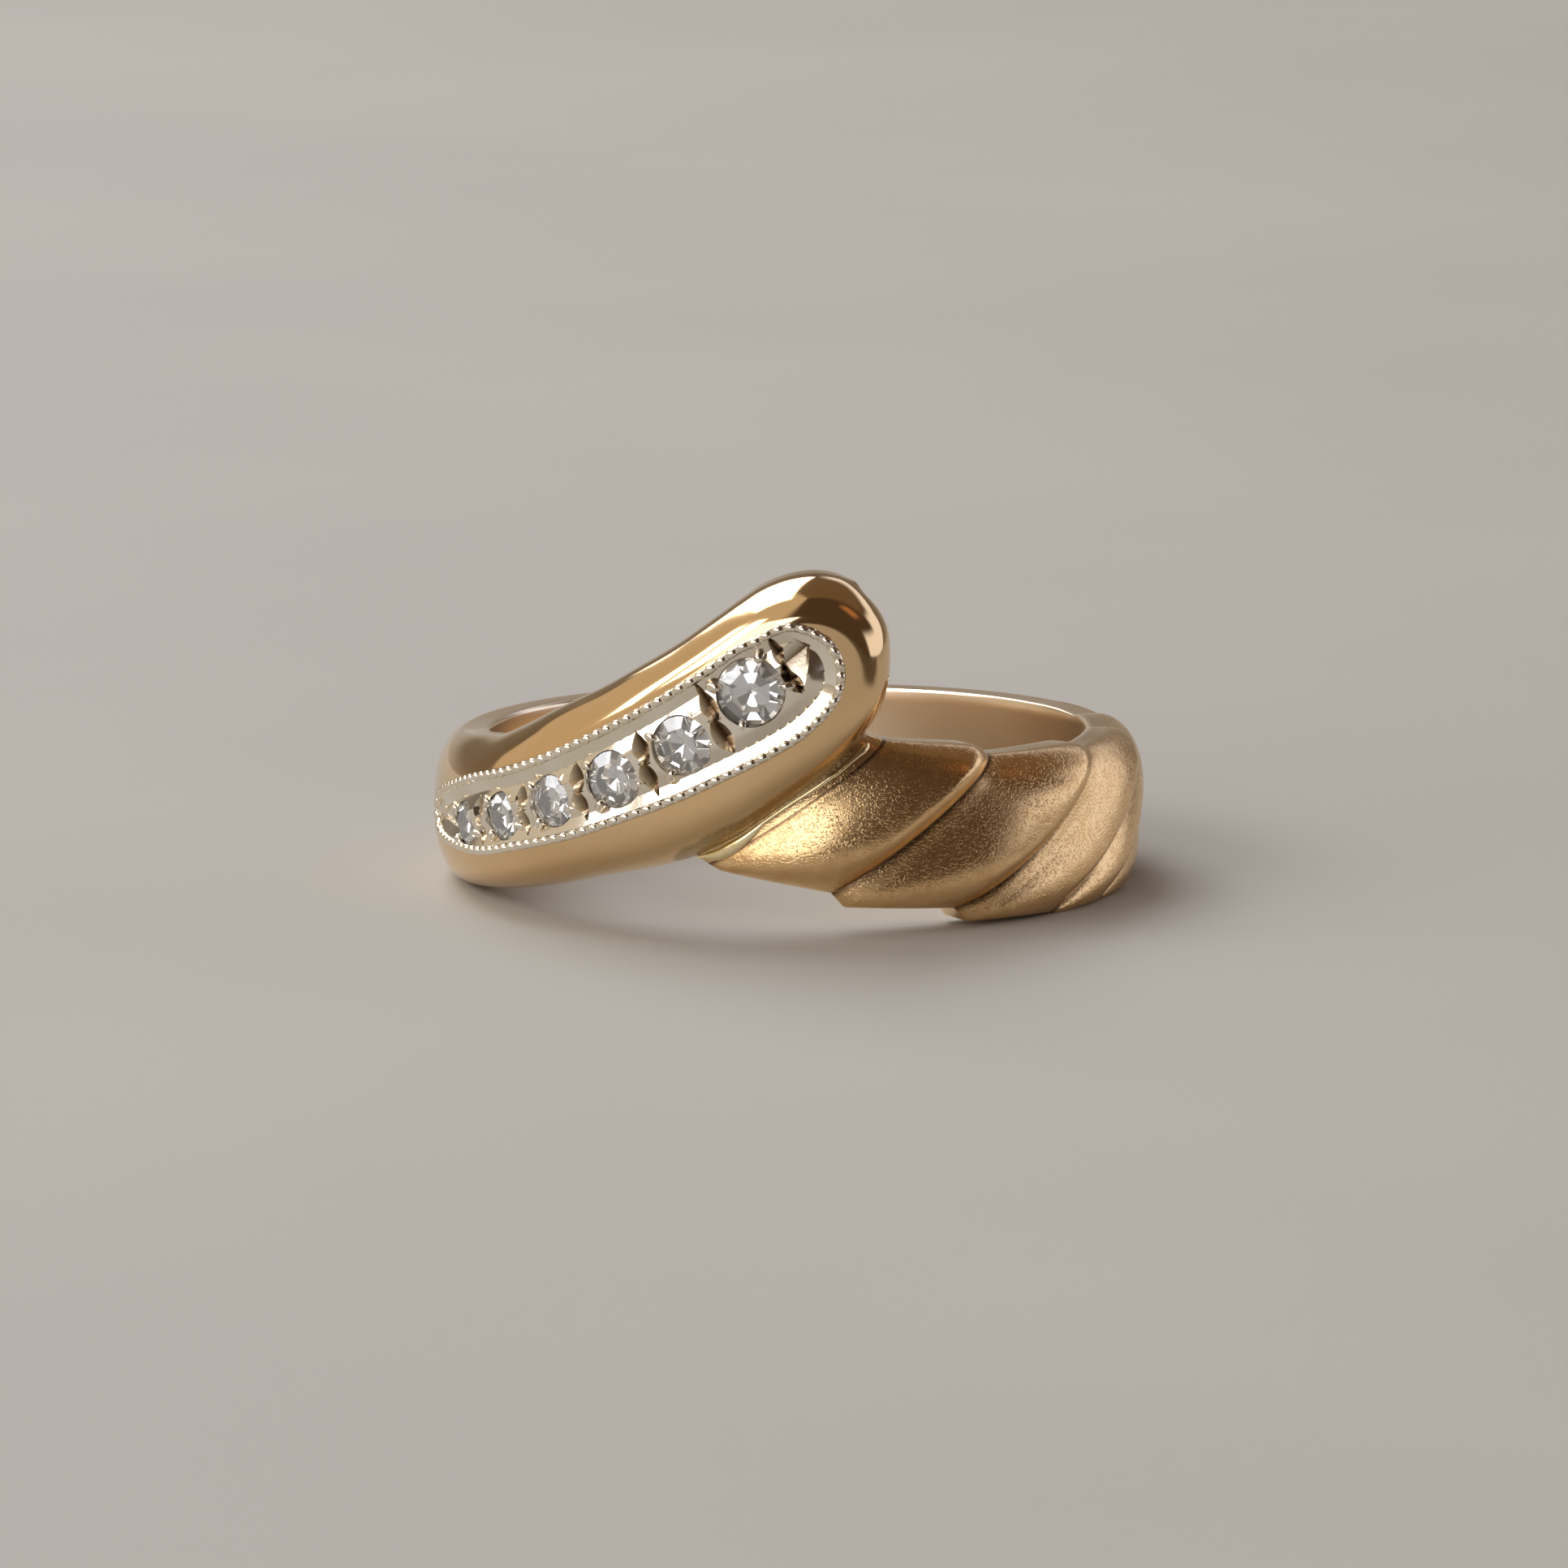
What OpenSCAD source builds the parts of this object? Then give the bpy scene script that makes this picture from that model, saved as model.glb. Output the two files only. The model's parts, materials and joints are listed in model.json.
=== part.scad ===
// Twisted shank ring: a polished arm that ends in a paddle head set with six stones,
// laid over a fluted arm, lying on its lower rim as it rests by itself.
// The finger axis is Z, the head faces the front (-Y), and angles run from the front
// towards the right hand of someone looking at the head.

/* [Shank] */

// inner diameter, where the finger goes
bore_d = 16.8; // [14:0.1:22]
// width of the plain shank at the back, along the finger
back_width = 3.9; // [2.5:0.05:5]
// thickness of the plain shank at the back
back_thick = 1.3; // [0.9:0.05:2]
// wall left at the upper and lower edges of the band
edge_thick = 0.7; // [0.4:0.05:0.85]
// how far the bore opens out behind the head, so that it does not rub
bore_flare = 0.12; // [0.05:0.01:0.3]

/* [Head] */

// height from the lower rim to the top of the head, along the finger
ring_height = 10.05; // [8.5:0.05:12]
// thickness of the polished arm at the head
head_thick = 2.5; // [2.2:0.05:3.2]
// width of the rounded border between the outline and the plate
border_w = 1.25; // [0.9:0.05:1.5]

/* [Fluted arm] */

// thickness at the crest of the first lobe, beside the head
first_crest = 2.05; // [1.6:0.05:2.3]
// thickness at the crest of the last lobe
last_crest = 1.5; // [1.35:0.05:1.8]
// depth of the first groove below its crests
groove_depth = 0.6; // [0.3:0.05:0.7]
// how much lower each lobe's pointed tip reaches than the lobe before it
tip_drop = 0.35; // [0.1:0.05:0.5]
// wall left at the lower rim of the fluted arm, where the lobes stay full
flute_edge = 1.15; // [0.7:0.05:1.2]
// rise of the upper rim at each crest
rim_bump = 0.26; // [0:0.02:0.4]

/* [Setting plate] */

// thickness of the plate below its edge
plate_thick = 1.25; // [1.15:0.05:1.4]
// height of the raised edge above the gold around it
rail_proud = 0.08; // [0.02:0.01:0.2]
// width of the raised edge
rail_w = 0.24; // [0.15:0.01:0.35]
// width of the flat between the raised edge and the trough
flat_w = 0.28; // [0.15:0.01:0.35]
// how far the flat falls towards the trough
flat_fall = 0.04; // [0:0.01:0.08]
// width of the bright slope down into the trough
slope_w = 0.12; // [0.06:0.01:0.2]
// depth of the trough that the stones sit in
trough_depth = 0.3; // [0.15:0.05:0.4]
// radius of the grains that hold the stones
grain_r = 0.17; // [0.12:0.01:0.22]
// how far outside a stone's edge the middle of a grain stands
grain_out = 0.05; // [0:0.01:0.1]
// height of the grains above the gold around the plate
grain_proud = 0.03; // [0:0.01:0.08]
// width of the slots between the stones, at their ends
slot_w = 0.38; // [0.2:0.02:0.45]
// width of the slots at their middle
slot_waist = 0.08; // [0.04:0.02:0.15]
// depth of the slots cut between the stones
slot_depth = 0.3; // [0.1:0.05:0.4]

/* [Stones] */

// diameter of the largest stone
stone_d = 1.85; // [1.5:0.05:2]
// how far the stones' widest part lies below the surface of the plate
stone_sink = 0.16; // [0.1:0.02:0.3]

/* [Fits] */

// gap left between the plate and the gold, and between a stone and its seat
fit_gap = 0.02; // [0.01:0.005:0.04]

/* [Hidden] */

$fa = 5;
$fs = 0.1;
bore_r = bore_d / 2;
// the bore is a straight cylinder up to this far below the rim of the plain back
rim_gap = 0.05;
straight_h = back_width - rim_gap;
// how far a cutting or joining shape runs past the surface that it meets
past = 1;
// the swept arms close this deep inside the bore, and the bore is cut after that
core = 0.3;
inner_r = bore_r - core;
// radius used to turn angles round the ring into lengths
mid_r = bore_r + head_thick;
mm_per_deg = PI * mid_r / 180;

// In both arms' tables a low rise is a share of the ring's height, and a top rise a share
// of what the head stands above the back.
function low_height(rise) = max(0, rise) * ring_height;
function top_height(rise) = back_width + (ring_height - back_width) * rise;

// Polished arm, from the back to the tip of the head. Thick is the share of the way from
// the back's thickness to the head's, round the share of the way from the border's width
// to a full half round, and ahead the place along the head's round end, 0 at its middle
// and 1 at its tip.
// low angle, low rise, top angle, top rise, thick, round, ahead
arm_table = [
    [-180, 0, -180, 0, 0, 1, 0],
    [-158, 0, -158, 0.008, 0.02, 1, 0],
    [-136, 0, -136, 0.016, 0.05, 1, 0],
    [-115, 0, -116, 0.024, 0.1, 0.9, 0],
    [-98, 0, -99, 0.034, 0.16, 0.78, 0],
    [-82, 0.008, -84, 0.06, 0.26, 0.62, 0],
    [-67.5, 0.028, -70, 0.104, 0.42, 0.5, 0],
    [-55.5, 0.054, -59, 0.15, 0.6, 0.44, 0],
    [-44, 0.09, -50, 0.236, 0.75, 0.36, 0],
    [-32.8, 0.137, -41.6, 0.341, 0.87, 0.28, 0],
    [-20.6, 0.185, -33, 0.45, 0.95, 0.2, 0],
    [-9.6, 0.257, -25.9, 0.558, 1, 0.1, 0],
    [-0.2, 0.366, -19.3, 0.664, 1, 0, 0],
    [7.7, 0.47, -13.4, 0.775, 1, 0, 0],
    [14.2, 0.59, -8.3, 0.872, 1, 0, 0],
    [16.5, 0.687, -4.6, 0.934, 1, 0, 0.33],
    [17.1, 0.771, -0.3, 0.977, 1, 0, 0.62],
    [16.8, 0.841, 4.1, 0.995, 1, 0, 0.83],
    [15.3, 0.896, 8.1, 0.984, 1, 0, 0.95],
    [12.9, 0.938, 11.6, 0.95, 1, 0, 0.995]
];
// positions across either arm, as shares of its width from one edge to the middle
half_steps = [0, 0.007, 0.025, 0.06, 0.11, 0.17, 0.24, 0.36];
across_steps = concat(half_steps, [0.5], [for (k = [len(half_steps) - 1 : -1 : 0]) 1 - half_steps[k]]);
// swept sections made between two rows of the table
arm_fine = 3;
// row of the table where the head is widest
head_row = 16;

// Fluted arm, one row for each groove, from the one beside the head to the last one.
// Bend is the power that curves the groove.
// low angle, low rise, top angle, top rise, bend
groove_table = [
    [-13.2, 0.198, 16.5, 0.237, 0.9],
    [7, 0.12, 36.5, 0.131, 0.87],
    [28.5, 0.058, 63.5, 0.073, 0.75],
    [49.5, 0.006, 88, 0.049, 0.9],
    [65, 0, 106, 0.041, 1],
    [80, 0, 124, 0.033, 1]
];
lobes = len(groove_table) - 1;
// where the fluted arm starts, inside the head's solid metal
start_row = [-18, 0.25, 7.5, 0.322, 0.9];
// Plain sections from the last groove to the back. Fade is the share of the way from the
// last lobe's form to the back's.
// low angle, top angle, fade
plain_table = [
    [86, 128, 0],
    [110, 143, 0.35],
    [137, 158, 0.8],
    [165, 172, 1]
];
// positions across one lobe, from its left groove to its right one
lobe_steps = [0, 0.04, 0.1, 0.2, 0.32, 0.45, 0.57, 0.68, 0.76, 0.82, 0.88, 0.94, 0.98];
// share of a lobe's width at which its lower rim reaches its tip
tip_at = 0.1;
// share of the tip drop that the first lobe has, because the head hides its tip
first_tip = 0.3;
// share of the groove depth that is lost from the first groove to the last
groove_fade = 0.6;
// where a lobe's crest lies across it, at the lower rim and in the upper half
crest_low = 0.48;
crest_high = 0.82;
// powers of the side that rises to the crest, at the lower rim, where it bulges, and at
// the upper rim, where it is hollow, and of the side that falls to the next groove
rise_low = 0.55;
rise_high = 1.9;
fall = 0.75;
// powers that shape a section from rim to rim, nearly flat on the lobes and round behind
flat_body = 3.4;
round_body = 2;

// Setting plate, from its lower left end to the head. The shares run across the polished
// arm, from its lower edge to its upper one at that angle, and ahead is as above.
// low angle, low share, top angle, top share, ahead
plate_table = [
    [-75.6, 0.455, -75.8, 0.506, 0.98],
    [-74.4, 0.371, -75, 0.592, 0.7],
    [-71.2, 0.317, -72.2, 0.656, 0.3],
    [-62.4, 0.266, -63.8, 0.723, 0],
    [-54, 0.234, -56, 0.758, 0],
    [-44.5, 0.236, -47.5, 0.738, 0],
    [-34, 0.237, -38.5, 0.738, 0],
    [-24.5, 0.264, -30.5, 0.76, 0],
    [-16, 0.278, -23.5, 0.781, 0],
    [-8.8, 0.287, -17.6, 0.801, 0],
    [-2.5, 0.276, -12.3, 0.817, 0],
    [2.6, 0.29, -7.6, 0.837, 0],
    [6.4, 0.354, -4.9, 0.829, 0],
    [7.9, 0.434, -2.6, 0.844, 0.4],
    [8.15, 0.547, 0.3, 0.838, 0.74],
    [7.3, 0.655, 3, 0.8, 0.93],
    [5.9, 0.732, 5.2, 0.749, 0.995]
];
plate_fine = 2;

// Stones, from the largest at the head to the smallest. Across is a share of the plate's
// width from its lower edge, and diameter a share of the largest stone's.
// angle, across, diameter
stone_table = [
    [-5.4, 0.643, 1],
    [-15.5, 0.481, 0.88],
    [-26.3, 0.452, 0.84],
    [-37.5, 0.466, 0.76],
    [-48.6, 0.432, 0.7],
    [-60.2, 0.391, 0.65]
];
last_stone = len(stone_table) - 1;
// where four grains stand round a stone, from the line of the stones
grain_turns = [-38, 38, 142, 218];
// how deep the grains are rooted in the metal under the trough
grain_root = 0.1;
// the slot past the largest stone is this share of the trough's width there
end_slot = 0.7;

// Single cut stone, its widest part at z = 0, for a stone of diameter 1: a round blank cut
// to a table at crown_h, eight facets round the table and eight that meet in a point below.
// table_r is the distance from the middle of the table to its sides.
facets = 8;
blank_sides = 24;
table_r = 0.29;
crown_h = 0.14;
girdle_h = 0.02;
pavilion_h = 0.43;

band_gold = [0.83, 0.66, 0.42];
plate_gold = [0.86, 0.84, 0.8];
stone_white = [0.9, 0.93, 0.96];

function polar(angle, height, radius) =
    [radius * sin(angle), -radius * cos(angle), height];

// smooth curve through the rows of a table, q counting the rows from 0
function curve(a, b, c, d, f) =
    0.5 * (2 * b + (c - a) * f + (2 * a - 5 * b + 4 * c - d) * f * f
        + (3 * b - a - 3 * c + d) * f * f * f);
function row_at(table, q) =
    let (last = len(table) - 1)
    let (i = min(floor(q), last - 1))
    curve(table[max(i - 1, 0)], table[i], table[i + 1], table[min(i + 2, last)], q - i);
function fine_rows(table, fine) =
    [for (k = [0 : (len(table) - 1) * fine]) row_at(table, k / fine)];

// solid through rows of points that all have the same count
module skin(rows) {
    n = len(rows[0]);
    last = (len(rows) - 1) * n;
    sides = [
        for (i = [0 : len(rows) - 2])
            for (j = [0 : n - 1])
                for (half = [0, 1])
                    let (a = i * n + j, b = i * n + (j + 1) % n)
                    half == 0 ? [a, b, a + n] : [b, b + n, a + n]
    ];
    first_cap = [for (j = [1 : n - 2]) [0, j + 1, j]];
    last_cap = [for (j = [1 : n - 2]) [last, last + j, last + j + 1]];
    polyhedron(points = [for (row = rows) each row], faces = concat(sides, first_cap, last_cap));
}

// thickness of the polished arm's crown at a share of the way to the head
function crown_r(share) = bore_r + back_thick + (head_thick - back_thick) * share;
// rise of a rounded edge, 0 at the outline and 1 where the border ends
function rounded(x) = x >= 1 ? 1 : sqrt(max(0, 1 - (1 - x) * (1 - x)));

// one section of the polished arm
function arm_section(row) =
    let (rim_low = low_height(row[1]), rim_top = top_height(row[3]))
    let (half = norm([(row[0] - row[2]) * mm_per_deg, rim_top - rim_low]) / 2)
    let (end_r = half / sqrt(1 - row[6] * row[6]))
    let (roll = border_w + (half - border_w) * max(0, row[5]))
    concat(
        [polar(row[0], rim_low, inner_r)],
        [for (t = across_steps)
            let (deep = end_r - norm([end_r * row[6], (1 - 2 * t) * half]))
            let (edge = bore_r + edge_thick)
            polar(row[0] + (row[2] - row[0]) * t, rim_low + (rim_top - rim_low) * t,
                edge + (crown_r(row[4]) - edge) * rounded(deep / roll))],
        [polar(row[2], rim_top, inner_r)]);

// the one section that both arms end on at the back, so that they join face to face
back_section = let (edge = bore_r + edge_thick)
    concat(
        [polar(180, 0, inner_r)],
        [for (t = across_steps)
            polar(180, back_width * t, edge + (crown_r(0) - edge) * rounded(1 - abs(2 * t - 1)))],
        [polar(180, back_width, inner_r)]);

module polished_arm() {
    rows = fine_rows(arm_table, arm_fine);
    skin(concat([back_section], [for (k = [1 : len(rows) - 1]) arm_section(rows[k])]));
}

// height of a lobe between its grooves at share p across it and share t up it
function lobe(p, t) =
    let (crest = crest_low + (crest_high - crest_low) * rounded(2 * t))
    p <= 0 || p >= 1 ? 0
    : p < crest ? pow(sin(90 * p / crest), rise_low + (rise_high - rise_low) * t)
    : pow(cos(90 * (p - crest) / (1 - crest)), fall);

// thickness at the crests and in the grooves, at share g of the way along the lobes
function crest_thick(g) = first_crest + (last_crest - first_crest) * g;
function groove_thick(g) = crest_thick(g) - groove_depth * (1 - groove_fade * g);

// one slanted section of the fluted arm between its two rims, each an [angle, height],
// at share p across the lobe, with its thickness in the grooves and at the crests
function flute_section(rim_low, rim_top, bend, p, groove_t, crest_t, fade = 0) =
    let (low_edge = flute_edge + (edge_thick - flute_edge) * fade)
    let (power = flat_body + (round_body - flat_body) * fade)
    concat(
        [polar(rim_low[0], rim_low[1], inner_r)],
        [for (t = across_steps)
            let (full = bore_r + groove_t + (crest_t - groove_t) * lobe(p, t))
            let (edge = bore_r + low_edge + (edge_thick - low_edge) * t)
            let (body = sqrt(max(0, 1 - pow(abs(2 * t - 1), power))))
            polar(rim_low[0] + (rim_top[0] - rim_low[0]) * pow(t, bend),
                rim_low[1] + (rim_top[1] - rim_low[1]) * t, edge + (full - edge) * body)],
        [polar(rim_top[0], rim_top[1], inner_r)]);

// section of the arm at a groove, share g of the way along the lobes
function groove_section(row, g) =
    flute_section([row[0], low_height(row[1])], [row[2], top_height(row[3])], row[4], 0,
        groove_thick(g), groove_thick(g));

// sections of lobe k, which runs from groove k to groove k + 1
function lobe_sections(k) =
    let (a = groove_table[k], b = groove_table[k + 1])
    [for (p = lobe_steps)
        let (row = a + (b - a) * p)
        let (g = (k + p) / lobes)
        let (tip = p < tip_at ? p / tip_at : (1 - p) / (1 - tip_at))
        let (drop = tip_drop * tip * (k > 0 ? 1 : first_tip))
        flute_section([row[0], max(0, low_height(row[1]) - drop)],
            [row[2], top_height(row[3]) + rim_bump * (1 - g) * lobe(p, 1)], row[4], p,
            groove_thick(g), crest_thick(g))];

// plain section behind the last groove
function plain_section(row, from) =
    let (rise = from[3] * (180 - row[1]) / (180 - from[2]))
    let (thick = last_crest + (back_thick - last_crest) * row[2])
    flute_section([row[0], 0], [row[1], top_height(rise)], 1, 0, thick, thick, row[2]);

module fluted_arm() {
    skin(concat(
        [groove_section(start_row, 0)],
        [for (k = [0 : lobes - 1]) each lobe_sections(k)],
        [groove_section(groove_table[lobes], 1)],
        [for (row = fine_rows(plain_table, arm_fine)) plain_section(row, groove_table[lobes])],
        [back_section]));
}

// the finger's way through, straight at first and then opening out a little
module bore() {
    wide_r = bore_r + bore_flare;
    rotate_extrude()
        polygon([[0, -past], [bore_r, -past], [bore_r, straight_h], [wide_r, ring_height],
            [wide_r, ring_height + past], [0, ring_height + past]]);
}

// the polished arm's crown radius at an angle round the ring
function crown_at(angle) =
    crown_r(lookup(angle, [for (row = arm_table) [(row[0] + row[2]) / 2, row[4]]]));

// height at a share across the polished arm at an angle, up to the widest part of its head
function arm_height(angle, share) =
    let (lows = [for (k = [0 : head_row]) [arm_table[k][0], low_height(arm_table[k][1])]])
    let (tops = [for (row = arm_table) [row[2], top_height(row[3])]])
    lookup(angle, lows) + (lookup(angle, tops) - lookup(angle, lows)) * share;

// the plate's outline as rows of low angle, low height, top angle, top height and ahead
plate_edges = fine_rows([
    for (row = plate_table)
        [row[0], arm_height(row[0], row[1]), row[2], arm_height(row[2], row[3]), row[4]]
], plate_fine);
function row_angle(row) = (row[0] + row[2]) / 2;
function row_half(row) = norm([(row[0] - row[2]) * mm_per_deg, row[3] - row[1]]) / 2;

// a point of a plate row, share t across it and let out by grow at both ends
function plate_point(row, t, grow, radius) =
    let (s = t + (2 * t - 1) * grow / (2 * row_half(row)))
    polar(row[0] + (row[2] - row[0]) * s, row[1] + (row[3] - row[1]) * s, radius);

// an end row of the plate moved out by the fit gap, away from the row next to it
function row_beyond(row, next) =
    let (away = [row_angle(row) - row_angle(next), (row[1] + row[3] - next[1] - next[3]) / 2])
    let (share = fit_gap / norm([away[0] * mm_per_deg, away[1]]))
    row + share * [away[0], away[1], away[0], away[1], 0];

module plate_pocket() {
    last = len(plate_edges) - 1;
    rows = concat([row_beyond(plate_edges[0], plate_edges[1])], plate_edges,
        [row_beyond(plate_edges[last], plate_edges[last - 1])]);
    skin([for (row = rows)
        let (top_r = crown_at(row_angle(row)) + past)
        let (floor_r = top_r - past - plate_thick - fit_gap)
        [for (corner = [[0, floor_r], [0, top_r], [1, top_r], [1, floor_r]])
            plate_point(row, corner[0], fit_gap, corner[1])]]);
}

// rise of the plate's surface above the gold around it, at each depth in from its outline
rail_slope = rail_w / 8;
plate_profile = [
    [0, 0],
    [rail_slope, rail_proud],
    [rail_w - rail_slope, rail_proud],
    [rail_w, 0],
    [rail_w + flat_w, -flat_fall],
    [rail_w + flat_w + slope_w, -trough_depth]
];

module plate_body() {
    depths = [for (step = plate_profile) step[0]];
    skin([for (row = plate_edges)
        let (crown = crown_at(row_angle(row)))
        let (half = row_half(row))
        let (end_r = half / sqrt(1 - row[4] * row[4]))
        let (near = [for (deep = depths) min(deep / (2 * half), 0.5)])
        let (far = [for (k = [len(near) - 1 : -1 : 0]) 1 - near[k]])
        concat(
            [plate_point(row, 0, 0, crown - plate_thick)],
            [for (t = concat(near, far))
                let (deep = end_r - norm([end_r * row[4], (1 - 2 * t) * half]))
                plate_point(row, t, 0, crown + lookup(deep, plate_profile))],
            [plate_point(row, 1, 0, crown - plate_thick)])]);
}

// where a stone stands, as [angle, height], and how steeply the stones run there
function stone_spot(k) =
    let (angle = stone_table[k][0])
    let (low = lookup(angle, [for (row = plate_edges) [row_angle(row), row[1]]]))
    let (top = lookup(angle, [for (row = plate_edges) [row_angle(row), row[3]]]))
    [angle, low + (top - low) * stone_table[k][1]];
function stone_slant(k) =
    let (run = stone_spot(max(k - 1, 0)) - stone_spot(min(k + 1, last_stone)))
    atan2(run[1], run[0] * mm_per_deg);
function stone_size(k) = stone_d * stone_table[k][2];

// half the width of the trough at an angle
function trough_half(angle) =
    lookup(angle, [for (row = plate_edges) [row_angle(row), row_half(row)]]) - rail_w - flat_w;

// children stand on the plate at an [angle, height] and a slant, with Z outwards
module on_plate(spot, slant) {
    translate(polar(spot[0], spot[1], crown_at(spot[0])))
        rotate([0, 0, spot[0]])
            rotate([90, 0, 0])
                rotate([0, 0, slant])
                    children();
}

// children stand at stone k, its widest part at z = 0 and X along the row of stones
module at_stone(k) {
    on_plate(stone_spot(k), stone_slant(k))
        translate([0, 0, -stone_sink])
            children();
}

// distance to the corners of a facetted outline whose sides are r from its middle
function corner_r(r) = r / cos(180 / facets);

// how far above and below the middle the corners between facets reach the girdle
function crown_reach() =
    crown_h - (crown_h - girdle_h / 2) * (0.5 * cos(180 / facets) - table_r) / (0.5 - table_r);
function pavilion_reach() = pavilion_h - (pavilion_h - girdle_h / 2) * cos(180 / facets);

module single_cut(d) {
    intersection() {
        translate([0, 0, -pavilion_h * d])
            cylinder(d = d, h = (pavilion_h + crown_h) * d, $fn = blank_sides);
        rotate_extrude($fn = facets)
            polygon(d * [[0, -pavilion_h], [corner_r(0.5), -girdle_h / 2],
                [corner_r(0.5), girdle_h / 2], [corner_r(table_r), crown_h], [0, crown_h]]);
    }
}

// half the outline of a stone's seat below its girdle, a cone down to the point
function seat(d) =
    let (deep = pavilion_h * d + fit_gap * 2)
    [[0, -deep], [fit_gap, -deep], [d / 2 + fit_gap, -pavilion_reach() * d - fit_gap]];

// straight well that a stone is dropped into
module well(d) {
    rotate_extrude()
        polygon(concat(seat(d), [[d / 2 + fit_gap, past], [0, past]]));
}

// space round a whole stone that the grains are trimmed to
module stone_space(d) {
    rotate_extrude()
        polygon(concat(seat(d), [[d / 2 + fit_gap, crown_reach() * d + fit_gap],
            [corner_r(table_r) * d + fit_gap, crown_h * d + fit_gap], [0, crown_h * d + fit_gap]]));
}

// four grains round a stone, raised from the metal under the trough
module grains(d) {
    top = stone_sink + grain_proud;
    foot = stone_sink - trough_depth - grain_root;
    for (turn = grain_turns)
        rotate([0, 0, turn])
            translate([d / 2 + grain_out, 0, 0])
                rotate_extrude($fn = 8)
                    polygon([[0, foot], [grain_r * 1.1, foot], [grain_r, top - grain_r],
                        [grain_r * 0.7, top - grain_r * 0.3], [0, top]]);
}

// one slot across the trough, wide at both sides and narrow in the middle
module slot(half) {
    deep = trough_depth + slot_depth;
    translate([0, 0, -deep])
        linear_extrude(height = deep - flat_fall - fit_gap)
            polygon([[-slot_w / 2, -half], [slot_w / 2, -half], [slot_waist / 2, 0],
                [slot_w / 2, half], [-slot_w / 2, half], [-slot_waist / 2, 0]]);
}

// a slot between each two stones, and one more past the largest
module slots() {
    for (k = [1 : last_stone]) {
        spot = (stone_spot(k - 1) + stone_spot(k)) / 2;
        on_plate(spot, (stone_slant(k - 1) + stone_slant(k)) / 2)
            slot(trough_half(spot[0]));
    }
    on_plate(stone_spot(0), stone_slant(0))
        translate([stone_d / 2 + slot_w, 0, 0])
            slot(trough_half(stone_spot(0)[0]) * end_slot);
}

module band() {
    color(band_gold)
        difference() {
            union() {
                polished_arm();
                fluted_arm();
            }
            bore();
            plate_pocket();
        }
}

module setting_plate() {
    color(plate_gold)
        difference() {
            union() {
                difference() {
                    plate_body();
                    for (k = [0 : last_stone])
                        at_stone(k) well(stone_size(k));
                    slots();
                }
                for (k = [0 : last_stone])
                    at_stone(k) grains(stone_size(k));
            }
            for (k = [0 : last_stone])
                at_stone(k) stone_space(stone_size(k));
        }
}

module stone(k) {
    color(stone_white)
        at_stone(k) single_cut(stone_size(k));
}
module diamond_1() { stone(0); }
module diamond_2() { stone(1); }
module diamond_3() { stone(2); }
module diamond_4() { stone(3); }
module diamond_5() { stone(4); }
module diamond_6() { stone(5); }

// Build list, one entry for each node

band();
setting_plate();
diamond_1();
diamond_2();
diamond_3();
diamond_4();
diamond_5();
diamond_6();
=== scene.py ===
"""Twisted shank ring: a polished gold arm with an inlaid plate of six stones, laid over a
satin fluted arm and soldered to it, resting on its lower rim on a pale floor."""
import json
import math

import bpy
import numpy as np
from mathutils import Matrix, Vector
from mathutils.bvhtree import BVHTree
from mathutils.kdtree import KDTree


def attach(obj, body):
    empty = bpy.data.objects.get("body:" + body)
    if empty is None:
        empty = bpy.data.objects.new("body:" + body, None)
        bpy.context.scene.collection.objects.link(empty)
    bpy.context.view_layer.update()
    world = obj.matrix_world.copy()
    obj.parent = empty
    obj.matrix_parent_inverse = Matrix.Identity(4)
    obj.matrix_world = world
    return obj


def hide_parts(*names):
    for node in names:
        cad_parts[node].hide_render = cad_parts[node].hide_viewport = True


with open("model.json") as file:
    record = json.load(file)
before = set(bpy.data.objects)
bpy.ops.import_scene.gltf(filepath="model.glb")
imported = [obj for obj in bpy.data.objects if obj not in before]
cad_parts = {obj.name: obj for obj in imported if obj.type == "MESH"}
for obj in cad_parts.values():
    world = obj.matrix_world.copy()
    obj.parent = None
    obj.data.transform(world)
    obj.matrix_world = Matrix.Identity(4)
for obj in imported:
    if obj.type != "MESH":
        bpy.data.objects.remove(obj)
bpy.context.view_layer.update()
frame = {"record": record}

# Lengths are in millimetres and angles in degrees until a mesh is placed.
MM = 0.001

# Sizes of the ring, as in the model that the frame holds
BORE_R = frame["record"]["mounts"][0]["dims"]["r_mm"]
RING_HEIGHT = 10.05
BACK_WIDTH = 3.9
BACK_THICK = 1.3
EDGE_THICK = 0.7
BORE_FLARE = 0.12
HEAD_THICK = 2.5
BORDER_W = 1.25
FIRST_CREST = 2.05
LAST_CREST = 1.5
GROOVE_DEPTH = 0.6
TIP_DROP = 0.35
FLUTE_EDGE = 1.15
RIM_BUMP = 0.26
PLATE_THICK = 1.25
STONE_D = 1.85
STONE_SINK = 0.16
RIM_GAP = 0.05
STRAIGHT_H = BACK_WIDTH - RIM_GAP
RIM_ROUND = 0.12
MM_PER_DEG = math.pi * (BORE_R + HEAD_THICK) / 180

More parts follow.
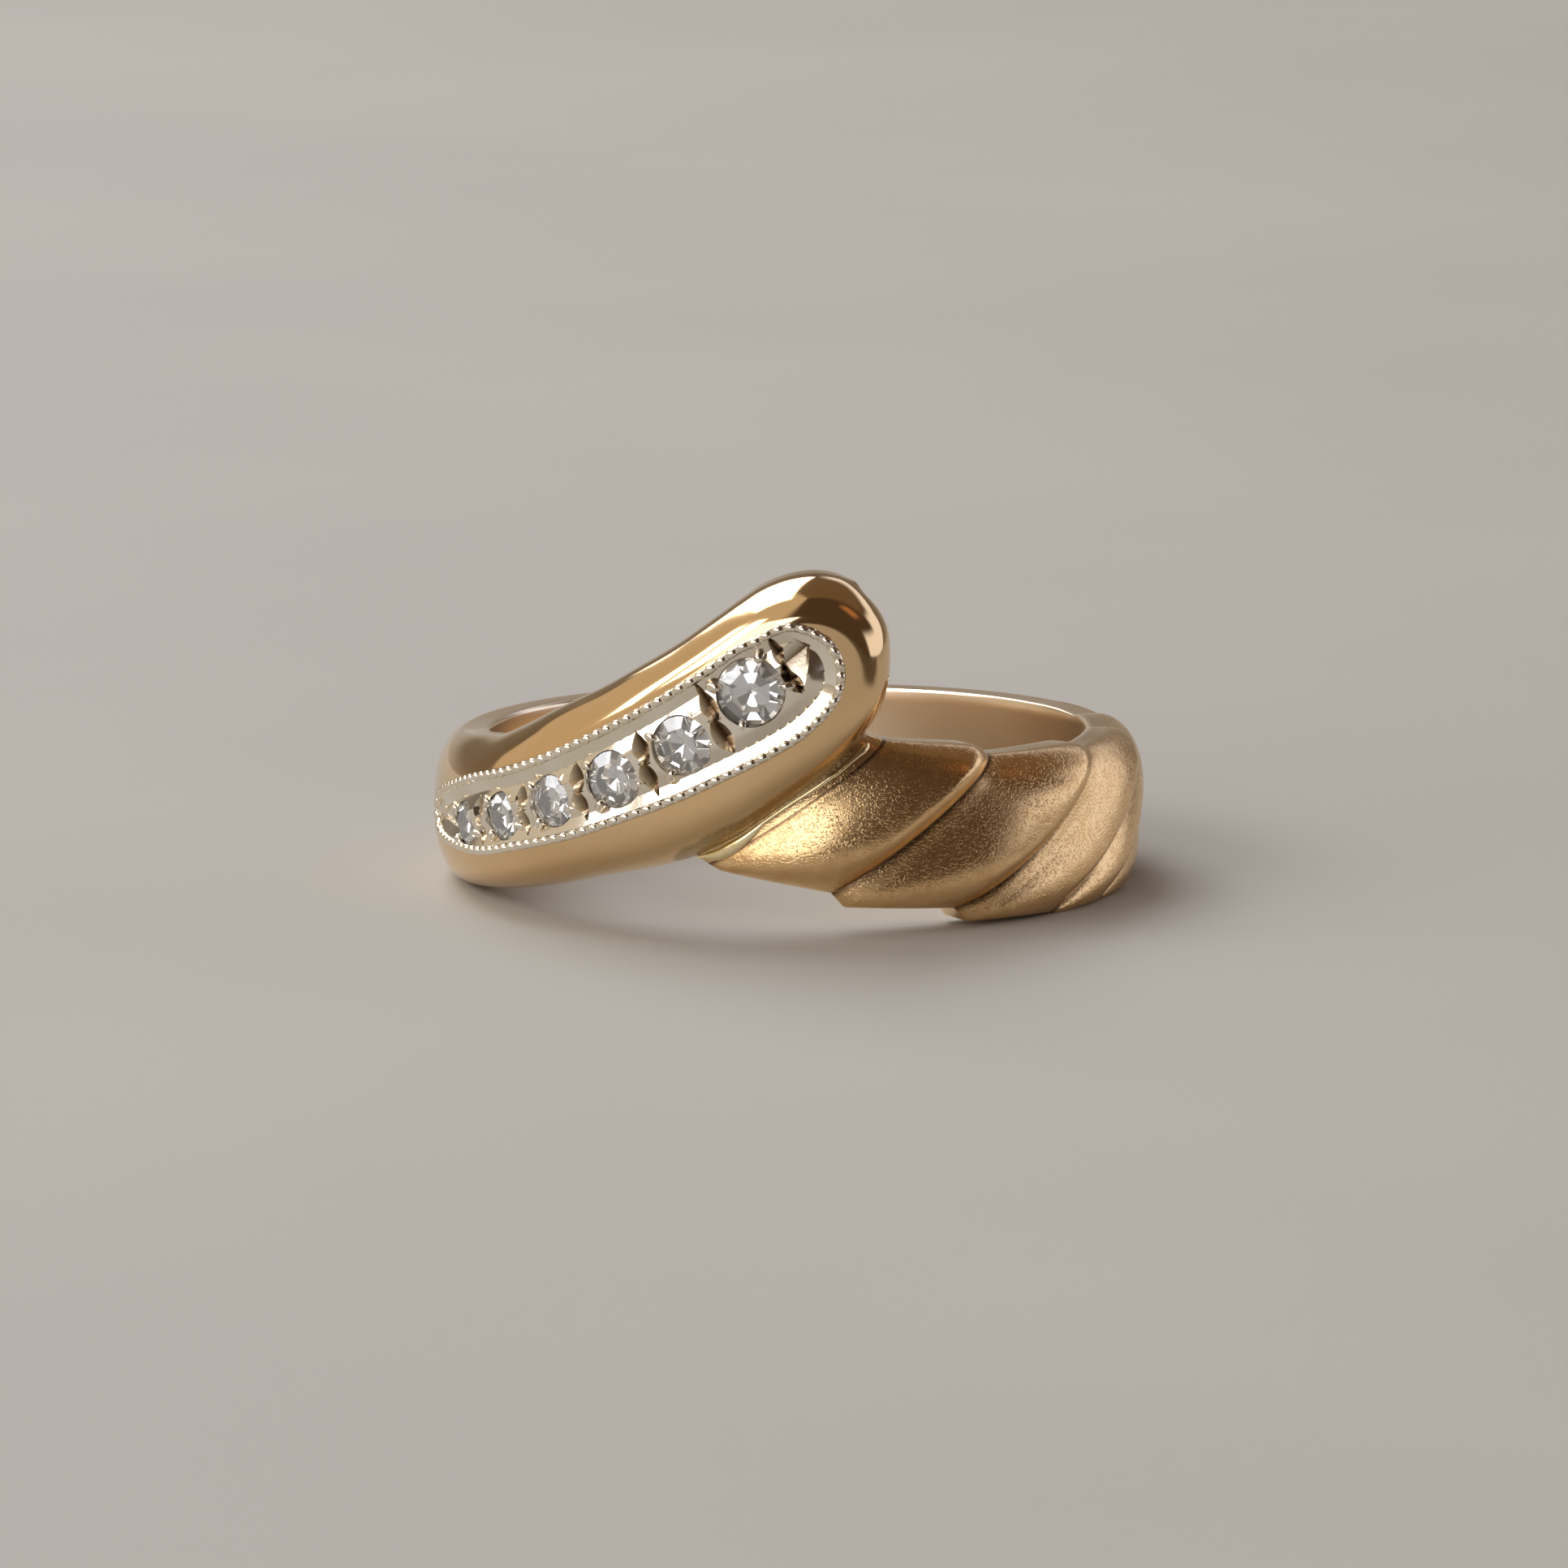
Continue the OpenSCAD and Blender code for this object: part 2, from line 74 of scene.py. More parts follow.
# Polished arm, from the back to the tip of the head:
# low angle, low rise, top angle, top rise, thick, round, ahead
ARM_TABLE = [
    (-180, 0, -180, 0, 0, 1, 0),
    (-158, 0, -158, 0.008, 0.02, 1, 0),
    (-136, 0, -136, 0.016, 0.05, 1, 0),
    (-115, 0, -116, 0.024, 0.1, 0.9, 0),
    (-98, 0, -99, 0.034, 0.16, 0.78, 0),
    (-82, 0.008, -84, 0.06, 0.26, 0.62, 0),
    (-67.5, 0.028, -70, 0.104, 0.42, 0.5, 0),
    (-55.5, 0.054, -59, 0.15, 0.6, 0.44, 0),
    (-44, 0.09, -50, 0.236, 0.75, 0.36, 0),
    (-32.8, 0.137, -41.6, 0.341, 0.87, 0.28, 0),
    (-20.6, 0.185, -33, 0.45, 0.95, 0.2, 0),
    (-9.6, 0.257, -25.9, 0.558, 1, 0.1, 0),
    (-0.2, 0.366, -19.3, 0.664, 1, 0, 0),
    (7.7, 0.47, -13.4, 0.775, 1, 0, 0),
    (14.2, 0.59, -8.3, 0.872, 1, 0, 0),
    (16.5, 0.687, -4.6, 0.934, 1, 0, 0.33),
    (17.1, 0.771, -0.3, 0.977, 1, 0, 0.62),
    (16.8, 0.841, 4.1, 0.995, 1, 0, 0.83),
    (15.3, 0.896, 8.1, 0.984, 1, 0, 0.95),
    (12.9, 0.938, 11.6, 0.95, 1, 0, 0.995),
]
HEAD_ROW = 16

# Fluted arm, one row for each groove: low angle, low rise, top angle, top rise, bend
GROOVE_TABLE = [
    (-13.2, 0.198, 16.5, 0.237, 0.9),
    (7, 0.12, 36.5, 0.131, 0.87),
    (28.5, 0.058, 63.5, 0.073, 0.75),
    (49.5, 0.006, 88, 0.049, 0.9),
    (65, 0, 106, 0.041, 1),
    (80, 0, 124, 0.033, 1),
]
START_ROW = (-18, 0.25, 7.5, 0.322, 0.9)
# plain shank behind the last groove: low angle, top angle, fade to the back's rounding
PLAIN_TABLE = [
    (86, 128, 0),
    (110, 143, 0.35),
    (137, 158, 0.8),
    (165, 172, 1),
]
LOBES = len(GROOVE_TABLE) - 1
# where across a lobe its tip lies, the share of the tip drop that the first lobe has, and
# how much the grooves have faded at the last lobe
TIP_AT = 0.1
FIRST_TIP = 0.3
GROOVE_FADE = 0.6
# where a lobe's crest lies across it at the lower rim, and how much further on it lies above
CREST_LOW = 0.48
CREST_SHIFT = 0.34
# powers of a lobe's rise: its bulge, its hollow in two halves, the change from one to the
# other on the way up, and its fall to the next groove
BULGE = 0.7
HOLLOW_SINE = 1.9
HOLLOW_LINE = 1.7
RISE_CHANGE = 0.8
FALL = 0.75
# power that shapes the fluted arm's sections from rim to rim, and how much less it is behind
BODY = 3.4
BODY_FADE = 1.4
# how much closer the rows lie where a lobe falls, and how fast the satin ends on the shank
ROW_PACKING = 0.05
SATIN_FADE = 2.2

# Setting plate: low angle, low share, top angle, top share
PLATE_TABLE = [
    (-75.6, 0.455, -75.8, 0.506),
    (-74.4, 0.371, -75, 0.592),
    (-71.2, 0.317, -72.2, 0.656),
    (-62.4, 0.266, -63.8, 0.723),
    (-54, 0.234, -56, 0.758),
    (-44.5, 0.236, -47.5, 0.738),
    (-34, 0.237, -38.5, 0.738),
    (-24.5, 0.264, -30.5, 0.76),
    (-16, 0.278, -23.5, 0.781),
    (-8.8, 0.287, -17.6, 0.801),
    (-2.5, 0.276, -12.3, 0.817),
    (2.6, 0.29, -7.6, 0.837),
    (6.4, 0.354, -4.9, 0.829),
    (7.9, 0.434, -2.6, 0.844),
    (8.15, 0.547, 0.3, 0.838),
    (7.3, 0.655, 3, 0.8),
    (5.9, 0.732, 5.2, 0.749),
]

# Stones from the largest: angle, share across the plate, diameter as a share of the largest
STONE_TABLE = [
    (-5.4, 0.643, 1),
    (-15.5, 0.481, 0.88),
    (-26.3, 0.452, 0.84),
    (-37.5, 0.466, 0.76),
    (-48.6, 0.432, 0.7),
    (-60.2, 0.391, 0.65),
]


# Shapes of the ring

def along(table, q):
    """Smooth curve through a table's rows, with q counting the rows from 0."""
    rows = np.asarray(table, float)
    last = len(rows) - 1
    i = np.minimum(np.floor(q).astype(int), last - 1)
    f = (q - i)[:, None]
    a, b, c, d = rows[np.maximum(i - 1, 0)], rows[i], rows[i + 1], rows[np.minimum(i + 2, last)]
    return 0.5 * (2 * b + (c - a) * f + (2 * a - 5 * b + 4 * c - d) * f ** 2
                  + (3 * b - a - 3 * c + d) * f ** 3)


def polar(angle, height, radius):
    """Points in metres at an angle round the ring from the front, a height and a radius."""
    a = np.radians(angle)
    return np.stack([radius * np.sin(a), -radius * np.cos(a), height + 0 * a], -1) * MM


def low_height(rise):
    return np.maximum(0, rise) * RING_HEIGHT


def top_height(rise):
    return BACK_WIDTH + (RING_HEIGHT - BACK_WIDTH) * rise


def rounded(x):
    """Rise of a rounded edge, 0 at the outline and 1 where the rounding ends."""
    return np.sqrt(np.clip(1 - (1 - np.clip(x, 0, 1)) ** 2, 0, 1))


def crown_r(share):
    return BORE_R + BACK_THICK + (HEAD_THICK - BACK_THICK) * share


def crown_at(angle):
    rows = np.array(ARM_TABLE)
    return crown_r(np.interp(angle, (rows[:, 0] + rows[:, 2]) / 2, rows[:, 4]))


# Places round a section of either arm. The outside runs from the lower rim to the upper
# one, then come the upper rim, the wall of the bore and the lower rim, with rounded corners.
OUTER_STEPS = (1 - np.cos(np.linspace(0, math.pi, 84))) / 2
CORNER = [(math.sin(a), math.cos(a)) for a in np.radians([0, 22.5, 45, 67.5, 90])]
RIM_STEPS = (0.75, 0.5, 0.25)
WALL_STEPS = np.linspace(1, 0, 14)[1:-1]


def ring_section(low_a, low_h, top_a, top_h, outer_angle, outer_radius):
    """One closed loop of points for each row: the outside given, the inside added."""
    wide = np.maximum(np.hypot((top_a - low_a) * MM_PER_DEG, top_h - low_h), 0.01)
    corner = np.minimum(RIM_ROUND, wide * 0.2)
    edge_low, edge_top = outer_radius[:, 0] - BORE_R, outer_radius[:, -1] - BORE_R
    share, radius = [], []
    for s in RIM_STEPS:
        share.append(1 + 0 * wide)
        radius.append(RIM_ROUND + (edge_top - RIM_ROUND) * s)
    for x, y in CORNER:
        share.append(1 - corner * (1 - y) / wide)
        radius.append(RIM_ROUND * (1 - x) + 0 * wide)
    for s in WALL_STEPS:
        share.append(corner / wide + (1 - 2 * corner / wide) * s)
        radius.append(0 * wide)
    for x, y in reversed(CORNER):
        share.append(corner * (1 - y) / wide)
        radius.append(RIM_ROUND * (1 - x) + 0 * wide)
    for s in reversed(RIM_STEPS):
        share.append(0 * wide)
        radius.append(RIM_ROUND + (edge_low - RIM_ROUND) * s)
    share, radius = np.stack(share, 1), np.stack(radius, 1)
    height = low_h[:, None] + (top_h - low_h)[:, None] * share
    flare = np.clip((height - STRAIGHT_H) / (RING_HEIGHT - STRAIGHT_H), 0, 1) * BORE_FLARE
    angle = low_a[:, None] + (top_a - low_a)[:, None] * share
    inner = polar(angle, height, BORE_R + flare + radius)
    outer_height = low_h[:, None] + (top_h - low_h)[:, None] * OUTER_STEPS
    return np.concatenate([polar(outer_angle, outer_height, outer_radius), inner], 1)


def back_row(sign):
    """The section at the back on which both arms end, so that they meet face to face."""
    angle = np.array([180.0 * sign])
    edge = BORE_R + EDGE_THICK
    radius = edge + (crown_r(0) - edge) * rounded(1 - abs(2 * OUTER_STEPS - 1))
    low, top = np.array([0.0]), np.array([BACK_WIDTH])
    return ring_section(angle, low, angle, top, angle[:, None] + 0 * OUTER_STEPS, radius[None, :])


# sections of the polished arm between two rows of its table
ARM_STEPS = 12


def polished_rows():
    q = np.linspace(0, len(ARM_TABLE) - 1, (len(ARM_TABLE) - 1) * ARM_STEPS + 1)[1:]
    low_a, low_rise, top_a, top_rise, thick, roundness, ahead = along(ARM_TABLE, q).T
    low_h, top_h = low_height(low_rise), top_height(top_rise)
    half = np.hypot((low_a - top_a) * MM_PER_DEG, top_h - low_h) / 2
    end_r = half / np.sqrt(1 - ahead ** 2)
    roll = BORDER_W + (half - BORDER_W) * np.maximum(0, roundness)
    t = OUTER_STEPS[None, :]
    deep = end_r[:, None] - np.hypot((end_r * ahead)[:, None], (1 - 2 * t) * half[:, None])
    edge = BORE_R + EDGE_THICK
    radius = edge + (crown_r(thick)[:, None] - edge) * rounded(deep / roll[:, None])
    angle = low_a[:, None] + (top_a - low_a)[:, None] * t
    return np.concatenate([back_row(-1), ring_section(low_a, low_h, top_a, top_h, angle, radius)])


def lobe(p, t):
    """Height of a lobe between its grooves at share p across it and share t up it."""
    crest = CREST_LOW + CREST_SHIFT * rounded(2 * t)
    up = np.clip(p / crest, 0, 1)
    hollow = 0.5 * np.sin(up * math.pi / 2) ** HOLLOW_SINE + 0.5 * up ** HOLLOW_LINE
    bulge = np.sin(up * math.pi / 2) ** BULGE
    rise = bulge + (hollow - bulge) * t ** RISE_CHANGE
    down = np.clip((p - crest) / (1 - crest), 0, 1)
    return np.where(p < crest, rise, np.cos(down * math.pi / 2) ** FALL)


def flute_sections(low_a, low_h, top_a, top_h, bend, p, groove_t, crest_t, fade):
    t = OUTER_STEPS[None, :]
    low_edge = (FLUTE_EDGE + (EDGE_THICK - FLUTE_EDGE) * fade)[:, None]
    full = BORE_R + groove_t[:, None] + (crest_t - groove_t)[:, None] * lobe(p[:, None], t)
    edge = BORE_R + low_edge + (EDGE_THICK - low_edge) * t
    power = (BODY - BODY_FADE * fade)[:, None]
    body = np.sqrt(np.clip(1 - abs(2 * t - 1) ** power, 0, 1))
    angle = low_a[:, None] + (top_a - low_a)[:, None] * t ** bend[:, None]
    return ring_section(low_a, low_h, top_a, top_h, angle, edge + (full - edge) * body)


def groove_section(row, thick):
    """The fluted arm's section at one groove."""
    low_a, low_rise, top_a, top_rise, bend = (np.array([value], float) for value in row)
    thick, none = np.array([thick]), np.zeros(1)
    return flute_sections(low_a, low_height(low_rise), top_a, top_height(top_rise), bend, none,
                          thick, thick, none)


def fluted_rows(steps=36):
    """Points of the fluted arm, and how satin and how deep in a groove each row is."""
    crest = lambda g: FIRST_CREST + (LAST_CREST - FIRST_CREST) * g
    groove = lambda g: crest(g) - GROOVE_DEPTH * (1 - GROOVE_FADE * g)
    parts = [groove_section(START_ROW, groove(0))]
    marks = [(0.0, 0.0)]
    table = np.array(GROOVE_TABLE)
    # rows are packed more closely where a lobe falls to the next groove
    x = np.linspace(0, 1, steps + 1)[:-1]
    p = x - ROW_PACKING * np.sin(math.pi * x) * np.cos(math.pi * x)
    for k in range(LOBES):
        row = table[k] + (table[k + 1] - table[k]) * p[:, None]
        g = (k + p) / LOBES
        tip = np.where(p < TIP_AT, p / TIP_AT, (1 - p) / (1 - TIP_AT))
        lower = TIP_DROP * tip * (1 if k else FIRST_TIP)
        low = np.maximum(0, low_height(row[:, 1]) - lower)
        top = top_height(row[:, 3]) + RIM_BUMP * (1 - g) * lobe(p, np.ones_like(p))
        parts.append(flute_sections(row[:, 0], low, row[:, 2], top, row[:, 4], p, groove(g),
                                    crest(g), 0 * p))
        marks += [(1.0, v) for v in p]
    end = table[LOBES]
    parts.append(groove_section(end, groove(1)))
    marks.append((1.0, 0.0))
    rows = along(PLAIN_TABLE, np.linspace(0, len(PLAIN_TABLE) - 1, 40))
    fade = np.clip(rows[:, 2], 0, 1)
    rise = end[3] * (180 - rows[:, 1]) / (180 - end[2])
    thick = LAST_CREST + (BACK_THICK - LAST_CREST) * fade
    parts.append(flute_sections(rows[:, 0], 0 * fade, rows[:, 1], top_height(rise), 1 + 0 * fade,
                                0 * fade, thick, thick, fade))
    marks += [(max(0.0, 1 - SATIN_FADE * v), 0.5) for v in fade]
    parts.append(back_row(1))
    marks.append((0.0, 0.5))
    return np.concatenate(parts), np.array(marks)


# Modelling

def deselect():
    if bpy.context.object and bpy.context.object.mode != "OBJECT":
        bpy.ops.object.mode_set(mode="OBJECT")
    bpy.ops.object.select_all(action="DESELECT")


def pick(piece):
    deselect()
    piece.select_set(True)
    bpy.context.view_layer.objects.active = piece


def edit(piece, *steps):
    """Runs edit operators on the whole piece."""
    pick(piece)
    bpy.ops.object.mode_set(mode="EDIT")
    bpy.ops.mesh.select_all(action="SELECT")
    for step in steps:
        step()
    bpy.ops.object.mode_set(mode="OBJECT")


def grid(name, points):
    """A grid primitive whose points are laid on an array of rows by columns."""
    rows, cols = points.shape[:2]
    deselect()
    bpy.ops.mesh.primitive_grid_add(x_subdivisions=cols - 1, y_subdivisions=rows - 1, size=1)
    piece = bpy.context.object
    piece.name = piece.data.name = name
    co = np.empty(len(piece.data.vertices) * 3)
    piece.data.vertices.foreach_get("co", co)
    co = co.reshape(-1, 3)
    j = np.rint((co[:, 0] + 0.5) * (cols - 1)).astype(int)
    i = np.rint((co[:, 1] + 0.5) * (rows - 1)).astype(int)
    piece.data.vertices.foreach_set("co", points[i, j].ravel())
    return piece, i, j


def closed_loft(name, points):
    """A solid whose cross sections are the rows of points."""
    # it is merged in millimetres, because merging has a least distance of its own
    piece, i, j = grid(name, np.concatenate([points, points[:, :1]], 1) / MM)
    edit(piece,
         lambda: bpy.ops.mesh.remove_doubles(threshold=1e-5),
         lambda: bpy.ops.mesh.fill_holes(sides=0),
         lambda: bpy.ops.mesh.normals_make_consistent(inside=False))
    stand(piece, Matrix.Diagonal((MM, MM, MM, 1)))
    return piece


def stand(piece, matrix):
    piece.data.transform(matrix)
    piece.data.update()


def drop(piece):
    mesh = piece.data
    bpy.data.objects.remove(piece)
    bpy.data.meshes.remove(mesh)


def apply(piece, kind, **settings):
    pick(piece)
    modifier = piece.modifiers.new(kind.lower(), kind)
    for key, value in settings.items():
        setattr(modifier, key, value)
    bpy.ops.object.modifier_apply(modifier=modifier.name)


def combine(piece, other, operation):
    """Boolean of a piece with another, which is used up."""
    apply(piece, "BOOLEAN", operation=operation, object=other, solver="MANIFOLD")
    drop(other)


def smooth(piece, angle=32):
    pick(piece)
    bpy.ops.object.shade_smooth_by_angle(angle=math.radians(angle))


def coordinates(piece):
    co = np.empty(len(piece.data.vertices) * 3)
    piece.data.vertices.foreach_get("co", co)
    return co.reshape(-1, 3)


def mark(piece, name, values):
    """Stores one value for each point, for the materials."""
    made = piece.data.attributes.new(name, "FLOAT", "POINT")
    made.data.foreach_set("value", np.asarray(values, float))


def joined(name, pieces):
    deselect()
    for piece in pieces:
        piece.select_set(True)
    bpy.context.view_layer.objects.active = pieces[0]
    bpy.ops.object.join()
    pieces[0].name = pieces[0].data.name = name
    return pieces[0]


# Plate and stones, laid out in the plate's own plane: millimetres round the ring and up

def arm_height(angle, share):
    rows = np.array(ARM_TABLE)
    low = np.interp(angle, rows[:HEAD_ROW + 1, 0], low_height(rows[:HEAD_ROW + 1, 1]))
    top = np.interp(angle, rows[:, 2], top_height(rows[:, 3]))
    return low + (top - low) * share


def plate_rows(q):
    """The plate's outline: low angle, low height, top angle, top height."""
    rows = [(r[0], arm_height(r[0], r[1]), r[2], arm_height(r[2], r[3])) for r in PLATE_TABLE]
    return along(rows, q)


def flat(angle, height):
    angle, height = np.asarray(angle), np.asarray(height)
    return np.stack([angle * MM_PER_DEG, height + 0 * angle], -1)


# rows of the plate's mesh between two rows of its table
PLATE_STEPS = 32
PLATE_ROWS = plate_rows(np.linspace(0, len(PLATE_TABLE) - 1,
                                    (len(PLATE_TABLE) - 1) * PLATE_STEPS + 1))
OUTLINE = np.concatenate([flat(PLATE_ROWS[:, 0], PLATE_ROWS[:, 1]),
                          flat(PLATE_ROWS[::-1, 2], PLATE_ROWS[::-1, 3])])


def resampled(path, step):
    """Points at even steps along a closed path."""
    path = np.concatenate([path, path[:1]])
    run = np.concatenate([[0], np.cumsum(np.hypot(*np.diff(path, axis=0).T))])
    count = int(round(run[-1] / step))
    at = np.arange(count) * run[-1] / count
    return np.stack([np.interp(at, run, path[:, 0]), np.interp(at, run, path[:, 1])], 1)


def stone_spots():
    angle = np.array([row[0] for row in STONE_TABLE])
    middle = (PLATE_ROWS[:, 0] + PLATE_ROWS[:, 2]) / 2
    low = np.interp(angle, middle, PLATE_ROWS[:, 1])
    top = np.interp(angle, middle, PLATE_ROWS[:, 3])
    return flat(angle, low + (top - low) * np.array([row[1] for row in STONE_TABLE]))


SPOTS = stone_spots()
LAST = len(SPOTS) - 1
RUNS = [SPOTS[max(k - 1, 0)] - SPOTS[min(k + 1, LAST)] for k in range(LAST + 1)]
SLANTS = np.array([math.degrees(math.atan2(run[1], run[0])) for run in RUNS])
STONE_R = np.array([STONE_D * row[2] / 2 for row in STONE_TABLE])


# from the plate's outline to the trough, just past the rail and the chamfer
TROUGH_MARGIN = 0.56


def trough_half(angle):
    middle = (PLATE_ROWS[:, 0] + PLATE_ROWS[:, 2]) / 2
    wide = (PLATE_ROWS[:, 2] - PLATE_ROWS[:, 0]) * MM_PER_DEG
    half = np.hypot(wide, PLATE_ROWS[:, 3] - PLATE_ROWS[:, 1]) / 2
    return np.interp(angle, middle, half) - TROUGH_MARGIN


# The plate's section, in from its outline: a rail, a bright cut chamfer and a raised floor
RAIL_W = 0.25
RAIL_H = 0.07
RAIL_ROUND = 0.06
RAIL_FALL = 0.05
CUT_W = 0.3
CUT_DEPTH = 0.13
FLOOR_SLOPE = 0.52
SLOPE_W = 0.32
SLOPE_ROUND = 0.2

# Leaves of the slots: half width, depth, how far the cutter goes on above the metal and where
# the keel lies, as a share of the half width
LEAF_W = 0.22
LEAF_DEPTH = 0.36
LEAF_RISE = 0.3
LEAF_KEEL = -0.2
# half width and depth left at the tips, and the power of the depth along the leaf
LEAF_TIP = 0.003
LEAF_BELLY = 0.6
# half length and place of a leaf as shares of the slot's half length, its shift and its turn
LEAF_LONG = 0.64
LEAF_OUT = 0.56
LEAF_ASIDE = 0.06
LEAF_TURN = -3
# the last slot, past the largest stone: its distance and its share of the trough's half width
END_SLOT_AWAY = 0.3
END_SLOT_SHARE = 0.76

# sides of the round seats and of the stones' blanks
ROUND_SIDES = 64
# Seats: gap round a stone, how much deeper they are, their foot, and the collar above
SEAT_GAP = 0.035
SEAT_DEEPER = 0.06
SEAT_FOOT = 0.02
COLLAR_H = 0.6
COLLAR_AT = 0.299

# depth below the crown at which painted shade starts to darken the metal, and over which it does
RECESS_SHADE_FROM = 0.15
RECESS_SHADE_OVER = 0.15
# how many times as far from the keel as the hollow's rims its cutter's sides reach
HOLLOW_SPREAD = 1.6
# the hollow past the largest stone, in from the last slot: its rims and keel, along, across
# the row and up, where it starts and where it is widest, then its tip
HOLLOW_ROWS = [
    [(0, -0.62, 0), (0, 0, -0.3), (0, 0.62, 0)],
    [(0.2, -0.6, 0), (0.74, 0, -0.34), (0.55, 0.6, 0)],
    [(0.92, 0, 0), (0.92, 0, 0), (0.92, 0, 0)],
]


def row_ahead(k):
    return np.array([math.cos(math.radians(SLANTS[k])), math.sin(math.radians(SLANTS[k]))])


def slots():
    """Middle, slant and half length of the pairs of leaf-shaped cuts between the stones."""
    found = [((SPOTS[k] + SPOTS[k + 1]) / 2, (SLANTS[k] + SLANTS[k + 1]) / 2, 1.0)
             for k in range(LAST)]
    end = SPOTS[0] + (STONE_R[0] + END_SLOT_AWAY) * row_ahead(0)
    found.append((end, SLANTS[0], END_SLOT_SHARE))
    return [(spot, slant, trough_half(spot[0] / MM_PER_DEG) * share)
            for spot, slant, share in found]


def soft_step(x):
    x = np.clip(x, 0, 1)
    return x * x * (3 - 2 * x)


def plate_surface(deep):
    """Height of the plate above the gold round it: rail, chamfer and a raised floor."""
    rail = RAIL_H * rounded(deep / RAIL_ROUND) * soft_step((RAIL_W - deep) / RAIL_FALL)
    cut = np.clip((deep - RAIL_W) / CUT_W, 0, 1)
    x = np.clip(deep - RAIL_W - CUT_W, 0, SLOPE_W + SLOPE_ROUND)
    floor = x - np.clip(x - SLOPE_W, 0, None) ** 2 / (2 * SLOPE_ROUND)
    return np.where(deep < RAIL_W, rail, FLOOR_SLOPE * floor - CUT_DEPTH * cut)


def hollow_cutter():
    """A wedge that cuts the hollow past the largest stone."""
    rows = np.array(HOLLOW_ROWS, float)
    keel = rows[[0, 1, 1], 1][:, None]
    # the sides go on above the metal at the same slope
    rows = keel + (rows - keel) * HOLLOW_SPREAD
    cutter = closed_loft("hollow", rows * MM)
    spot, slant, half = slots()[-1]
    stand(cutter, on_plate(spot, slant, 0))
    return cutter


def leaf_cutter(spot, slant, half, side):
    """A wedge with a keel, pointed at both ends, that cuts one leaf of a slot."""
    y = np.linspace(-1, 1, 19)
    share = 1 - y ** 2
    wide = LEAF_W * share + LEAF_TIP
    deep = LEAF_DEPTH * share ** LEAF_BELLY + LEAF_TIP
    # the sides go on above the metal at the same slope
    rim = wide * (deep + LEAF_RISE) / deep
    long = y * half * LEAF_LONG
    rise = LEAF_RISE + 0 * y
    loops = [np.stack([x, long, z], 1)
             for x, z in ((-rim, rise), (LEAF_KEEL * wide, -deep), (rim, rise))]
    cutter = closed_loft("leaf", np.stack(loops, 1) * MM)
    place = Matrix.Rotation(math.radians(LEAF_TURN), 4, "Z")
    place = place @ Matrix.Translation((side * LEAF_ASIDE * MM, side * half * LEAF_OUT * MM, 0))
    stand(cutter, on_plate(spot, slant, 0) @ place)
    return cutter


def seat_cutter(k):
    """A cone below a stone's girdle with a collar above it, that cuts its seat."""
    radius = STONE_R[k] + SEAT_GAP
    deep = 2 * STONE_R[k] * PAVILION_SHARE + SEAT_DEEPER
    deselect()
    bpy.ops.mesh.primitive_cone_add(vertices=ROUND_SIDES, radius1=SEAT_FOOT * MM,
                                    radius2=radius * MM, depth=deep * MM)
    cone = bpy.context.object
    stand(cone, Matrix.Translation((0, 0, -deep / 2 * MM)))
    bpy.ops.mesh.primitive_cylinder_add(vertices=ROUND_SIDES, radius=radius * MM,
                                        depth=COLLAR_H * MM, location=(0, 0, COLLAR_AT * MM))
    collar = bpy.context.object
    stand(collar, Matrix.Translation(collar.location))
    collar.location = (0, 0, 0)
    combine(cone, collar, "UNION")
    stand(cone, on_plate(SPOTS[k], SLANTS[k], -STONE_SINK))
    return cone


def outline_depth(points):
    """Distance from each point to the plate's outline."""
    outline = resampled(OUTLINE, 0.01)
    tree = KDTree(len(outline))
    for n, (x, y) in enumerate(outline):
        tree.insert((x, y, 0), n)
    tree.balance()
    deep = [tree.find((x, y, 0))[2] for x, y in points.reshape(-1, 2)]
    return np.array(deep).reshape(points.shape[:-1])


# distances from the outline at which the plate's mesh has lines along its edges: on the
# rail, on the chamfer and just past it
EDGE_LINES = np.concatenate([
    [0, 0.02, 0.045, 0.09, 0.14, 0.18, 0.205, 0.225, RAIL_W],
    RAIL_W + CUT_W * np.linspace(0.08, 1, 12),
    RAIL_W + CUT_W + np.array([0.02, 0.04, 0.06, 0.08, 0.1])])
# points between the lines of the two edges, and points at which a row's depth is measured
MIDDLE_STEPS = 64
DEPTH_STEPS = 321
# at the plate's ends, where it is narrow, the lines are drawn in but stay in order: the first
# one's share of the row's greatest depth, and how much more the last one's is
NARROW_FIRST = 0.4
NARROW_MORE = 0.55


def plate_shares(low_a, low_h, top_a, top_h):
    """Shares across each row where its points lie: close together along both edges."""
    fine = np.linspace(0, 1, DEPTH_STEPS)
    deep = outline_depth(flat(low_a + (top_a - low_a) * fine, low_h + (top_h - low_h) * fine))
    n = np.arange(len(EDGE_LINES)) / len(EDGE_LINES)
    rows = []
    for row in deep:
        top = row.argmax()
        lines = np.minimum(EDGE_LINES, row[top] * (NARROW_FIRST + NARROW_MORE * n))
        low = np.interp(lines, row[:top + 1], fine[:top + 1])
        high = np.interp(lines, row[:top - 1:-1], fine[:top - 1:-1])
        middle = np.linspace(low[-1], high[-1], MIDDLE_STEPS)[1:-1]
        rows.append(np.concatenate([low, middle, high[::-1]]))
    return np.array(rows)


